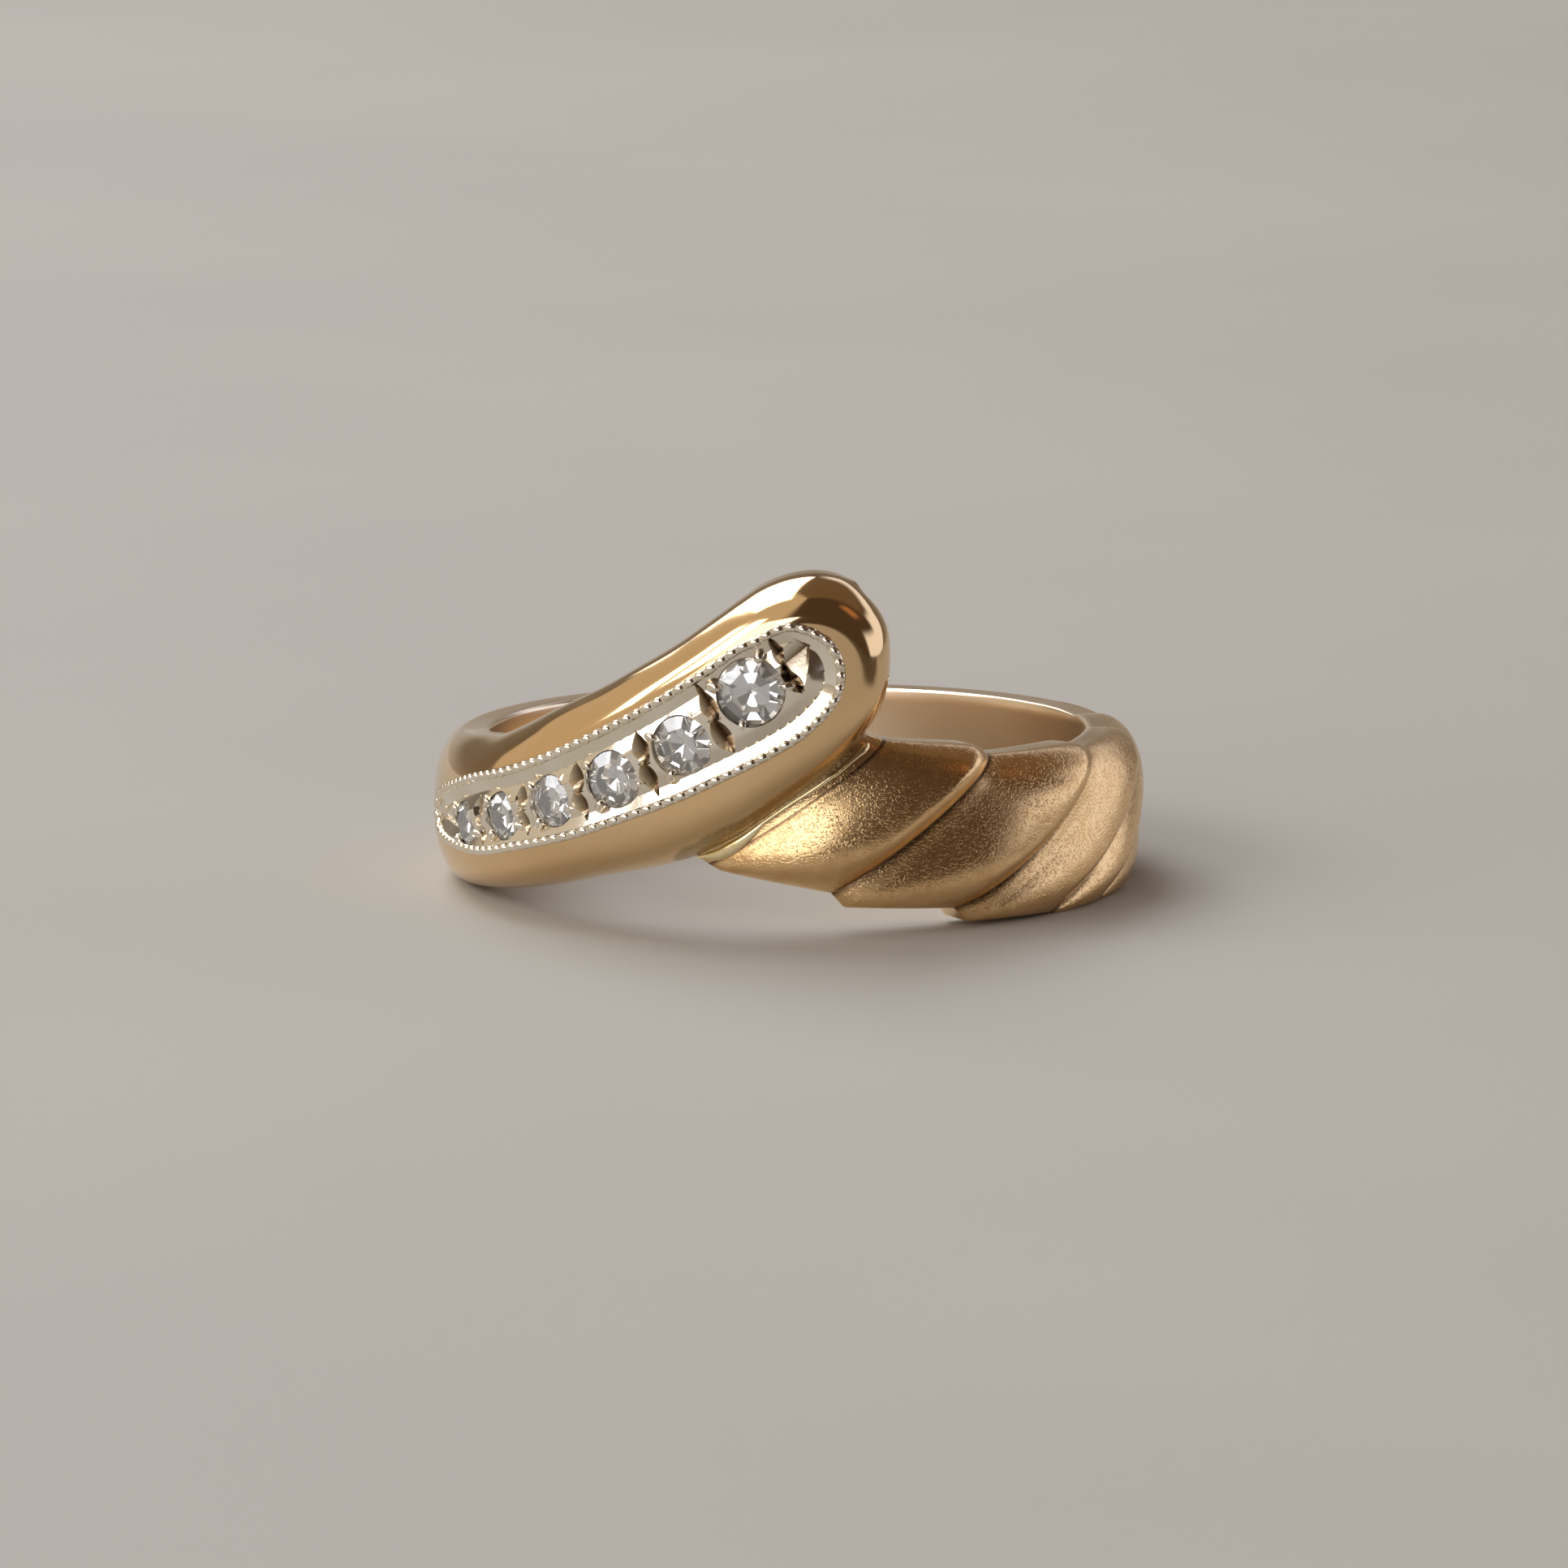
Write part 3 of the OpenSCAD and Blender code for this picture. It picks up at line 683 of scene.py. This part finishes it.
def make_plate():
    low_a, low_h, top_a, top_h = (PLATE_ROWS[:, k][:, None] for k in range(4))
    t = plate_shares(low_a, low_h, top_a, top_h)
    angle, height = low_a + (top_a - low_a) * t, low_h + (top_h - low_h) * t
    points = flat(angle, height)
    crown = crown_at(angle)
    top = polar(angle, height, crown + plate_surface(outline_depth(points)))
    foot = []
    for s in (1.0, 0.5, 0.0):
        radius = crown[:, 0] * (1 - s) + crown[:, -1] * s - PLATE_THICK
        foot.append(polar((low_a + (top_a - low_a) * s)[:, 0],
                          (low_h + (top_h - low_h) * s)[:, 0], radius))
    plate = closed_loft("setting_plate_cut", np.concatenate([top, np.stack(foot, 1)], 1))
    for spot, slant, half in slots():
        for side in (-1, 1):
            combine(plate, leaf_cutter(spot, slant, half, side), "DIFFERENCE")
    combine(plate, hollow_cutter(), "DIFFERENCE")
    for k in range(LAST + 1):
        combine(plate, seat_cutter(k), "DIFFERENCE")
    # painted shade: the white gold is painted darker the deeper it lies below the crown, in the
    # slots, the seats and the hollow
    co = coordinates(plate)
    radius = np.hypot(co[:, 0], co[:, 1]) / MM
    sunk = crown_at(np.degrees(np.arctan2(co[:, 0], -co[:, 1]))) - radius
    mark(plate, "hollow", np.clip((sunk - RECESS_SHADE_FROM) / RECESS_SHADE_OVER, 0, 1))
    return plate


# how far the plate's edges reach into the gold, so that no gap shows, and how far the pocket's
# cutter runs past the surface
POCKET_OVERLAP = 0.01
POCKET_PAST = 1


def pocket():
    """The solid that the plate's seat in the gold is cut with."""
    rows = PLATE_ROWS[::8]
    half = np.hypot((rows[:, 2] - rows[:, 0]) * MM_PER_DEG, rows[:, 3] - rows[:, 1]) / 2
    crown = crown_at((rows[:, 0] + rows[:, 2]) / 2)
    loops = []
    for share, radius in ((0, crown - PLATE_THICK), (0, crown + POCKET_PAST),
                          (1, crown + POCKET_PAST), (1, crown - PLATE_THICK)):
        s = share - (2 * share - 1) * POCKET_OVERLAP / (2 * half)
        loops.append(polar(rows[:, 0] + (rows[:, 2] - rows[:, 0]) * s,
                           rows[:, 1] + (rows[:, 3] - rows[:, 1]) * s, radius))
    return closed_loft("pocket", np.stack(loops, 1))


def on_plate(spot, slant, rise):
    """Matrix that stands a shape on the plate, Z outwards and X along the row of stones."""
    angle = spot[0] / MM_PER_DEG
    place = polar(angle, spot[1], crown_at(angle) + rise)
    return (Matrix.Translation(Vector(place)) @ Matrix.Rotation(math.radians(angle), 4, "Z")
            @ Matrix.Rotation(math.radians(90), 4, "X")
            @ Matrix.Rotation(math.radians(slant), 4, "Z"))


# A stone's facets above or below the girdle, and its sizes as shares of its width
FACETS = 8
TABLE_SHARE = 0.58
CROWN_SHARE = 0.14
GIRDLE_SHARE = 0.02
PAVILION_SHARE = 0.43
# each stone is set one by one: turn about its axis and lean along and across the row
STONE_SET = [(9, 1.5, -2), (31, -3, 1), (4, 2, 2.5), (20, -2, -1), (38, 1, 2), (12, 3, -2)]


def make_stone(k):
    """A single cut stone: a round blank cut to a table, eight crown and eight lower facets."""
    radius = STONE_R[k]
    top, low = 2 * radius * CROWN_SHARE, 2 * radius * PAVILION_SHARE
    girdle = radius * GIRDLE_SHARE
    deselect()
    bpy.ops.mesh.primitive_cylinder_add(vertices=ROUND_SIDES, radius=radius, depth=top + low)
    stone = bpy.context.object
    stone.name = stone.data.name = f"stone_{k + 1}"
    stand(stone, Matrix.Translation((0, 0, (top - low) / 2)))
    cuts = []
    for n in range(FACETS):
        around = math.radians(360 / FACETS * n)
        c, s = math.cos(around), math.sin(around)
        for rise, run in ((top - girdle, radius * (1 - TABLE_SHARE)), (girdle - low, radius)):
            face = Vector((abs(rise) * c, abs(rise) * s, math.copysign(run, rise)))
            place = Vector((radius * c, radius * s, math.copysign(girdle, rise)))
            cuts.append(lambda place=place, face=face: cut_away(place, face))
    edit(stone, *cuts)
    edit(stone, lambda: bpy.ops.mesh.normals_make_consistent(inside=False))
    turn, along_row, across = (math.radians(v) for v in STONE_SET[k])
    lean = Matrix.Rotation(along_row, 4, "Y") @ Matrix.Rotation(across, 4, "X")
    lean = lean @ Matrix.Rotation(turn, 4, "Z")
    seat = on_plate(SPOTS[k], SLANTS[k], -STONE_SINK)
    stand(stone, seat @ lean @ Matrix.Diagonal((MM, MM, MM, 1)))
    return stone


def cut_away(place, face):
    """Cuts off what lies beyond a plane and closes the cut with one facet."""
    bpy.ops.mesh.select_all(action="SELECT")
    bpy.ops.mesh.bisect(plane_co=place, plane_no=face.normalized(), use_fill=True, clear_outer=True,
                        threshold=1e-5)


# Beads of the milgrain edge: pitch, radius, shape along, across and up, and place in from
# the outline and up
BEAD_PITCH = 0.36
BEAD_R = 0.185
BEAD_SHAPE = (1.05, 0.72, 0.68, 1)
BEAD_IN = 0.13
BEAD_RISE = 0.015


def make_beads():
    deselect()
    bpy.ops.mesh.primitive_uv_sphere_add(segments=12, ring_count=8, radius=BEAD_R * MM)
    bead = bpy.context.object
    stand(bead, Matrix.Diagonal(BEAD_SHAPE))
    path = resampled(OUTLINE, 0.02)
    ahead = np.roll(path, -3, 0) - np.roll(path, 3, 0)
    inward = np.stack([-ahead[:, 1], ahead[:, 0]], 1) / np.hypot(*ahead.T)[:, None]
    spots = resampled(path + inward * BEAD_IN, BEAD_PITCH)
    steps = np.roll(spots, -1, 0) - np.roll(spots, 1, 0)
    beads = []
    for spot, step in zip(spots, steps):
        copy = bead.copy()
        copy.data = bead.data.copy()
        bpy.context.collection.objects.link(copy)
        stand(copy, on_plate(spot, math.degrees(math.atan2(step[1], step[0])), BEAD_RISE))
        beads.append(copy)
    drop(bead)
    return joined("milgrain_edge", beads)


# rows of the arm's table, back from the tip of the head, between which the seam runs
SEAM_FROM = 9
SEAM_TO = 3
# start outside and length of the rays that look for the fluted arm's surface
RAY_OUT = 4
RAY_LONG = 6
# how far from the seam its crust can reach, and how near a point lies to the row it is on
SEAM_REACH = 1.4
ON_ROW = 0.03


def seam_path(arm):
    """Where the polished arm's lower edge meets the first lobe, from low left to upper right."""
    tree = BVHTree.FromObject(arm, bpy.context.evaluated_depsgraph_get())
    path = []
    rows = polished_rows()[-ARM_STEPS * SEAM_FROM:-ARM_STEPS * SEAM_TO]
    for row in rows[:, :len(OUTER_STEPS) // 2]:
        gaps = []
        for p in row:
            out = Vector((p[0], p[1], 0)).normalized()
            hit = tree.ray_cast(Vector(p) + out * RAY_OUT * MM, -out, RAY_LONG * MM)[0]
            gaps.append(hit.xy.length - Vector(p).xy.length if hit else -MM)
        over = [n for n, gap in enumerate(gaps) if gap > 0]
        if over and over[-1] + 1 < len(row):
            path.append(row[over[-1] + 1])
    return np.array(path)


def make_gold():
    band = closed_loft("gold_band", polished_rows())
    points, marks = fluted_rows()
    arm = closed_loft("fluted_arm", points)
    seam = seam_path(arm)
    combine(band, arm, "UNION")
    combine(band, pocket(), "DIFFERENCE")
    co = coordinates(band)
    satin, groove = np.zeros(len(co)), np.ones(len(co)) * 0.5
    tree = KDTree(points.shape[0] * len(OUTER_STEPS))
    outer = points[:, :len(OUTER_STEPS)].reshape(-1, 3)
    for n, p in enumerate(outer):
        tree.insert(p, n)
    tree.balance()
    for n, p in enumerate(co):
        found, index, away = tree.find(p)
        if away < ON_ROW * MM:
            satin[n], groove[n] = marks[index // len(OUTER_STEPS)]
    near = KDTree(len(seam))
    for n, p in enumerate(seam):
        near.insert(p, n)
    near.balance()
    mark(band, "seam", [max(0, 1 - near.find(p)[2] / (SEAM_REACH * MM)) for p in co])
    mark(band, "satin", satin)
    mark(band, "groove", groove)
    smooth(band)
    return band, seam


# Materials

class Value:
    """A number in a node tree, which can be used in sums."""

    def __init__(self, graph, socket):
        self.graph = graph
        self.socket = socket

    def maths(self, operation, other=0.0):
        return self.graph.node("ShaderNodeMath", {"operation": operation}, {0: self, 1: other})

    def __add__(self, other):
        return self.maths("ADD", other)

    def __sub__(self, other):
        return self.maths("SUBTRACT", other)

    def __mul__(self, other):
        return self.maths("MULTIPLY", other)

    def __neg__(self):
        return self * -1

    def __rsub__(self, other):
        return -self + other

    __radd__ = __add__
    __rmul__ = __mul__


class Graph:
    """The nodes of one material or of the world."""

    def __init__(self, owner):
        owner.use_nodes = True
        self.tree = owner.node_tree
        self.tree.nodes.clear()

    def node(self, kind, settings, sockets, out=0):
        """Adds a node with its settings, then its sockets, and gives one of its outputs."""
        node = self.tree.nodes.new(kind)
        for key, value in settings.items():
            setattr(node, key, value)
        for key, value in sockets.items():
            if isinstance(value, Value):
                self.tree.links.new(value.socket, node.inputs[key])
            else:
                node.inputs[key].default_value = value
        return Value(self, node.outputs[out]) if len(node.outputs) else None

    def smoothly(self, value, low, high, to_low=0.0, to_high=1.0):
        return self.node("ShaderNodeMapRange", {"interpolation_type": "SMOOTHSTEP"},
                         {0: value, 1: low, 2: high, 3: to_low, 4: to_high})

    def mix(self, share, first, second):
        """Mix of two colours."""
        return self.node("ShaderNodeMix", {"data_type": "RGBA"}, {0: share, 6: first, 7: second}, 2)

    def noise(self, place, scale, detail=2.0, roughness=0.5):
        return self.node("ShaderNodeTexNoise", {}, {"Vector": place, "Scale": scale,
                                                    "Detail": detail, "Roughness": roughness})

    def stretched(self, place, turn, scale):
        return self.node("ShaderNodeMapping", {}, {"Vector": place, "Rotation": turn,
                                                   "Scale": scale})

    def attribute(self, name):
        return self.node("ShaderNodeAttribute", {"attribute_name": name}, {}, 2)

    def bump(self, height, distance, strength):
        return self.node("ShaderNodeBump", {}, {"Height": height, "Distance": distance,
                                                "Strength": strength})

    def place(self):
        return self.node("ShaderNodeTexCoord", {}, {}, "Object")


def material(name, dress):
    made = bpy.data.materials.new(name)
    graph = Graph(made)
    graph.node("ShaderNodeOutputMaterial", {}, {"Surface": dress(graph)})
    return made


def colour(red, green, blue):
    return red, green, blue, 1.0


def principled(graph, **sockets):
    named = {key.replace("_", " "): value for key, value in sockets.items()}
    return graph.node("ShaderNodeBsdfPrincipled", {}, named)


def yellow_gold(graph):
    place = graph.place()
    satin, seam = graph.attribute("satin"), graph.attribute("seam")
    groove = graph.attribute("groove")
    cloud = graph.noise(place, 420.0, 3.0)
    grain = graph.noise(place, 34000.0, 2.0, 0.6)
    strokes = graph.stretched(place, (0.3, 0.5, 0.4), (16000.0, 3500.0, 16000.0))
    strokes = graph.noise(strokes, 1.0, 2.0)
    cross = graph.stretched(place, (0.9, -0.6, 1.2), (4000.0, 15000.0, 15000.0))
    cross = graph.noise(cross, 1.0, 2.0)
    scratch = graph.smoothly(strokes, 0.52, 0.72) + graph.smoothly(cross, 0.54, 0.72)
    tone = graph.noise(place, 2500.0, 3.0)
    hairs = graph.stretched(place, (0.0, 0.9, 0.2), (500.0, 14000.0, 14000.0))
    hairs = graph.noise(hairs, 1.0, 1.0)
    brushed = satin * (1 - graph.smoothly(seam, 0.78, 0.88))
    # painted shade: the satin gold is darkened along the bottoms of the grooves between the lobes
    groove_shade = graph.smoothly(abs_from(groove, 0.5), 0.455, 0.5) * satin
    bright = graph.mix(graph.smoothly(cloud, 0.3, 0.75), colour(0.86, 0.61, 0.34),
                       colour(0.82, 0.57, 0.30))
    dull = graph.mix(graph.smoothly(tone, 0.3, 0.7), colour(0.80, 0.52, 0.25),
                     colour(0.88, 0.60, 0.31))
    base = graph.mix(brushed, bright, dull)
    # the painted shade in the grooves is mixed in
    base = graph.mix(groove_shade * 0.85, base, colour(0.09, 0.05, 0.03))
    # a dark crust is left on the polished gold along the seam
    crust = graph.smoothly(seam + (cloud - 0.5) * 0.5, 0.44, 0.56)
    crust = crust * (1 - satin) * graph.smoothly(groove, 0.3, 0.45)
    crusted = graph.mix(graph.smoothly(grain, 0.4, 0.6), colour(0.16, 0.10, 0.04),
                        colour(0.62, 0.45, 0.2))
    base = graph.mix(crust * 0.7, base, crusted)
    # painted light: the bore is paler, its colour standing in for the glow of light inside the
    # ring, and less bright
    out = graph.node("ShaderNodeVectorMath", {"operation": "MULTIPLY"},
                     {0: place, 1: (1.0, 1.0, 0.0)})
    out = graph.node("ShaderNodeVectorMath", {"operation": "LENGTH"}, {0: out}, "Value")
    bore_glow = graph.smoothly(out, (BORE_R + 0.25) * MM, (BORE_R + 0.1) * MM)
    base = graph.mix(bore_glow, base, colour(0.97, 0.80, 0.60))
    rough = brushed * 0.13 + 0.07 + cloud * 0.05 + crust * 0.2 + bore_glow * 0.15
    relief = (grain * 0.12 + scratch) * (brushed + crust * 2.5) + hairs * 0.03
    relief = graph.bump(relief, 1.2e-5, 0.33)
    return principled(graph, Base_Color=base, Metallic=1.0, Roughness=rough, Normal=relief)


def solder_metal(graph):
    cloud = graph.noise(graph.place(), 3000.0, 3.0)
    base = graph.mix(graph.smoothly(cloud, 0.3, 0.7), colour(1.0, 0.87, 0.56),
                     colour(0.95, 0.76, 0.42))
    return principled(graph, Base_Color=base, Metallic=1.0, Roughness=cloud * 0.15 + 0.1,
                      Normal=graph.bump(cloud, 3e-5, 0.4))


def abs_from(value, middle):
    return (value - middle).maths("ABSOLUTE")


def white_gold(graph):
    place = graph.place()
    cloud = graph.noise(place, 900.0, 3.0)
    hairs = graph.stretched(place, (0.2, 0.4, 0.6), (9000.0, 1200.0, 9000.0))
    hairs = graph.noise(hairs, 1.0, 2.0)
    base = graph.mix(graph.smoothly(cloud, 0.3, 0.7), colour(0.92, 0.85, 0.74),
                     colour(0.86, 0.78, 0.64))
    # painted shade in the plate's recesses, from its hollow mark
    base = graph.mix(graph.attribute("hollow") * 0.85, base, colour(0.2, 0.13, 0.075))
    return principled(graph, Base_Color=base, Metallic=1.0, Roughness=cloud * 0.12 + 0.06,
                      Normal=graph.bump(hairs, 6e-6, 0.3))


def diamond(graph):
    cloud = graph.noise(graph.place(), 600.0, 2.0)
    base = graph.mix(cloud * 0.1, colour(1.0, 1.0, 1.0), colour(0.93, 0.96, 1.0))
    return principled(graph, Base_Color=base, Roughness=0.0, IOR=2.42, Transmission_Weight=0.86)


def paper(graph):
    place = graph.place()
    broad = graph.noise(place, 18.0, 3.0)
    fine = graph.noise(place, 1500.0, 4.0, 0.6)
    base = graph.mix(graph.smoothly(broad, 0.3, 0.7), colour(0.51, 0.495, 0.465),
                     colour(0.54, 0.525, 0.49))
    # in front on the right the paper lies in shade, which the metal mirrors
    right = graph.node("ShaderNodeSeparateXYZ", {}, {0: place}, "X")
    away = graph.node("ShaderNodeSeparateXYZ", {}, {0: place}, "Y")
    shade = graph.smoothly(right, 0.02, 0.032) * graph.smoothly(away, -0.005, -0.02)
    base = graph.mix(shade, base, colour(0.1, 0.08, 0.06))
    return principled(graph, Base_Color=base, Roughness=0.75, Normal=graph.bump(fine, 3e-5, 0.35))


# The room that the metal mirrors, painted in order over a dark brown: azimuth of the middle
# (0 towards the camera, 90 to its right), half width, lowest and highest elevation, soft
# edge, red, green and blue
ROOM_TABLE = [
    (-90, 76, 0, 90, 8, 0.60, 0.51, 0.40),
    (150, 55, 36, 90, 10, 0.16, 0.11, 0.07),
    (178, 40, -90, 10, 5, 0.72, 0.79, 0.95),
    (94, 28, -90, 16, 5, 1.0, 1.02, 1.16),
    (122, 22, 0, 31, 5, 1.0, 1.02, 1.16),
    (150, 24, 0, 34, 5, 1.0, 1.02, 1.16),
    (75, 7, 36, 56, 5, 0.42, 0.20, 0.09),
]
ROOM_DARK = (0.075, 0.05, 0.035)

# Window panes: azimuth and elevation of the middle of each end, half height, brightness
WINDOW_TABLE = [
    (-169, 24, -92, 65, 15, 3.0),
    (-88, 32, -74, 33, 13, 3.6),
    (-69, 35, -46, 34, 10, 3.6),
    (-46, 24, -21, 20, 12, 2.0),
    (-20, 20, -4, 17, 12, 2.8),
]
WINDOW_AWAY = 0.5
WINDOW_TINT = (0.92, 0.95, 1.0)


def heading(azimuth, elevation):
    """Direction seen from the ring."""
    a, e = math.radians(azimuth), math.radians(elevation)
    return Vector((math.sin(a) * math.cos(e), -math.cos(a) * math.cos(e), math.sin(e)))


def make_windows():
    for n, (az_1, el_1, az_2, el_2, half, strength) in enumerate(WINDOW_TABLE):
        one, two = heading(az_1, el_1), heading(az_2, el_2)
        out, wide = ((one + two) / 2).normalized(), (two - one)
        data = bpy.data.lights.new(f"window_{n + 1}", "AREA")
        data.shape = "RECTANGLE"
        data.size = wide.length * WINDOW_AWAY
        data.size_y = 2 * math.tan(math.radians(half)) * WINDOW_AWAY
        data.energy = strength * math.pi * data.size * data.size_y
        data.color = WINDOW_TINT
        light = bpy.data.objects.new(data.name, data)
        bpy.context.collection.objects.link(light)
        across = wide.normalized()
        light.matrix_world = Matrix.Translation(out * WINDOW_AWAY) @ Matrix(
            (across, out.cross(across), out)).transposed().to_4x4()


def make_world():
    world = bpy.data.worlds.new("studio")
    bpy.context.scene.world = world
    graph = Graph(world)
    ray = graph.node("ShaderNodeTexCoord", {}, {}, "Generated")
    level = graph.node("ShaderNodeVectorMath", {"operation": "MULTIPLY"}, {0: ray, 1: (1, 1, 0)})
    level = graph.node("ShaderNodeVectorMath", {"operation": "NORMALIZE"}, {0: level})
    rise = graph.node("ShaderNodeSeparateXYZ", {}, {0: ray}, "Z")
    sine = lambda angle: math.sin(math.radians(max(-90, min(90, angle))))
    light = ROOM_DARK + (1.0,)
    for azimuth, half, low, high, edge, *tint in ROOM_TABLE:
        a = math.radians(azimuth)
        share = graph.node("ShaderNodeVectorMath", {"operation": "DOT_PRODUCT"},
                           {0: level, 1: (math.sin(a), -math.cos(a), 0)}, "Value")
        mask = graph.smoothly(share, math.cos(math.radians(half + edge)),
                              math.cos(math.radians(half - edge)))
        if low > -90:
            mask = mask * graph.smoothly(rise, sine(low - edge), sine(low + edge))
        if high < 90:
            mask = mask * graph.smoothly(rise, sine(high - edge), sine(high + edge), 1.0, 0.0)
        light = graph.mix(mask, light, tuple(tint) + (1.0,))
    back = graph.node("ShaderNodeBackground", {}, {"Color": light, "Strength": 1.0})
    graph.node("ShaderNodeOutputWorld", {}, {"Surface": back})


# The camera: the point it looks at, its distance in metres, its height above the level in
# degrees, and its sensor and lens
CAMERA_AIM = (-0.115, 0, 2.56)
CAMERA_AWAY = 0.3
CAMERA_TILT = 10
SENSOR_W = 36
LENS = 244.0


def make_camera():
    data = bpy.data.cameras.new("camera")
    camera = bpy.data.objects.new("camera", data)
    bpy.context.collection.objects.link(camera)
    data.sensor_width = SENSOR_W
    data.lens = LENS
    data.clip_start = 0.01
    data.clip_end = 10
    aim = Vector(CAMERA_AIM) * MM
    tilt = math.radians(CAMERA_TILT)
    camera.location = aim + CAMERA_AWAY * Vector((0, -math.cos(tilt), math.sin(tilt)))
    camera.rotation_euler = (math.radians(90) - tilt, 0, 0)
    bpy.context.scene.camera = camera
    bpy.context.scene.view_settings.view_transform = "Standard"


# The floor in metres: its size, where behind the ring it starts to rise, and its curve
FLOOR_SIZE = 1.6
FLOOR_BEND = 0.45
FLOOR_POWER = 1.5
FLOOR_RISE = 2


def make_floor():
    deselect()
    bpy.ops.mesh.primitive_grid_add(x_subdivisions=24, y_subdivisions=24, size=FLOOR_SIZE)
    floor = bpy.context.object
    floor.name = floor.data.name = "floor"
    co = coordinates(floor)
    co[:, 2] = np.clip(co[:, 1] - FLOOR_BEND, 0, None) ** FLOOR_POWER * FLOOR_RISE
    floor.data.vertices.foreach_set("co", co.ravel())
    smooth(floor, 60)
    return floor


# Claw grains: turn round the stone and size of each, the share of it at the smaller stones,
# how far out and how deep they lie, their shape, and how their tails are drawn out
CLAW_TABLE = [(-29, 0.15), (38, 0.17), (135, 0.17), (218, 0.19)]
CLAW_SMALLER = 0.85
CLAW_OUT = 0.06
CLAW_SINK = 0.06
CLAW_SHAPE = (1.1, 0.8)
CLAW_TAIL = (0.4, 0.6, -0.6)


def make_claws():
    """Grains raised beside each stone to hold it, with broad low tails."""
    deselect()
    bpy.ops.mesh.primitive_uv_sphere_add(segments=14, ring_count=10, radius=1)
    pattern = bpy.context.object
    co = coordinates(pattern)
    tail = np.clip(co[:, 0], 0, 1)
    co *= 1 + tail[:, None] * np.array(CLAW_TAIL)
    pattern.data.vertices.foreach_set("co", co.ravel())
    claws = []
    for k in range(LAST + 1):
        for turn, size in CLAW_TABLE:
            size *= MM * (1 if k == 0 else CLAW_SMALLER)
            place = Matrix.Rotation(math.radians(turn), 4, "Z")
            place = place @ Matrix.Translation(Vector(((STONE_R[k] + CLAW_OUT) * MM, 0, 0)))
            place = place @ Matrix.Diagonal((size * CLAW_SHAPE[0], size * CLAW_SHAPE[1], size, 1))
            copy = pattern.copy()
            copy.data = pattern.data.copy()
            bpy.context.collection.objects.link(copy)
            stand(copy, on_plate(SPOTS[k], SLANTS[k], -CLAW_SINK) @ place)
            claws.append(copy)
    drop(pattern)
    return joined("claw_grains", claws)


# Solder along the seam: share of the seam from its low end, half width of the bead and how
# far it lies below the seam
SOLDER_TABLE = [
    (0, 0.03, 0.1),
    (0.05, 0.13, 0.2),
    (0.12, 0.19, 0.27),
    (0.2, 0.18, 0.25),
    (0.28, 0.11, 0.18),
    (0.34, 0.05, 0.12),
    (0.5, 0.045, 0.14),
    (0.66, 0.06, 0.2),
    (0.8, 0.045, 0.25),
    (0.9, 0.05, 0.28),
    (0.955, 0.11, 0.3),
    (0.985, 0.09, 0.3),
    (1, 0.02, 0.3),
]
# how flat the bead is, and how far out and in the gold is looked for
SOLDER_FLAT = 0.5
SOLDER_REACH = 2


def make_seam(path, gold):
    """A bead of solder along the seam, laid on the gold, with a broad polished end."""
    share, size, shift = np.array(SOLDER_TABLE).T
    s = np.linspace(0, 1, 48)
    at = np.linspace(0, 1, len(path))
    path = np.stack([np.interp(s, at, path[:, k]) for k in range(3)], 1)
    size, shift = np.interp(s, share, size)[:, None], np.interp(s, share, shift)[:, None]
    ahead = np.gradient(path, axis=0)
    out = path * [1, 1, 0]
    side = np.cross(ahead, out)
    out /= np.linalg.norm(out, axis=1)[:, None]
    side /= np.linalg.norm(side, axis=1)[:, None]
    tree = BVHTree.FromObject(gold, bpy.context.evaluated_depsgraph_get())
    path = path + side * shift * MM
    for n, p in enumerate(path):
        start = Vector(p) + Vector(out[n]) * SOLDER_REACH * MM
        hit = tree.ray_cast(start, -Vector(out[n]), 2 * SOLDER_REACH * MM)[0]
        if hit:
            path[n] = hit
    turn = np.linspace(0, 2 * math.pi, 15)[:-1][None, :, None]
    ring = np.cos(turn) * side[:, None] + np.sin(turn) * out[:, None] * SOLDER_FLAT
    return closed_loft("solder_seam", path[:, None] + ring * size[:, None] * MM)


def dress(piece, finish, slot, node=None):
    piece.data.materials.clear()
    piece.data.materials.append(finish)
    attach(piece, "root")
    if node:
        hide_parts(node)


def build():
    yellow = material("yellow_gold_metal", yellow_gold)
    white = material("white_gold_metal", white_gold)
    clear = material("clear_stone", diamond)
    gold, seam = make_gold()
    dress(gold, yellow, "yellow_gold", "band")
    plate = make_plate()
    smooth(plate, 28)
    dress(plate, white, "white_gold", "setting_plate")
    beads = make_beads()
    smooth(beads, 60)
    dress(beads, white, "white_gold")
    claws = make_claws()
    smooth(claws, 60)
    dress(claws, white, "white_gold")
    solder = make_seam(seam, gold)
    smooth(solder, 60)
    dress(solder, material("solder_metal", solder_metal), "yellow_gold")
    for k in range(LAST + 1):
        dress(make_stone(k), clear, "diamond", f"diamond_{k + 1}")
    floor = make_floor()
    floor.data.materials.append(material("pale_floor", paper))
    make_world()
    make_windows()
    make_camera()


build()
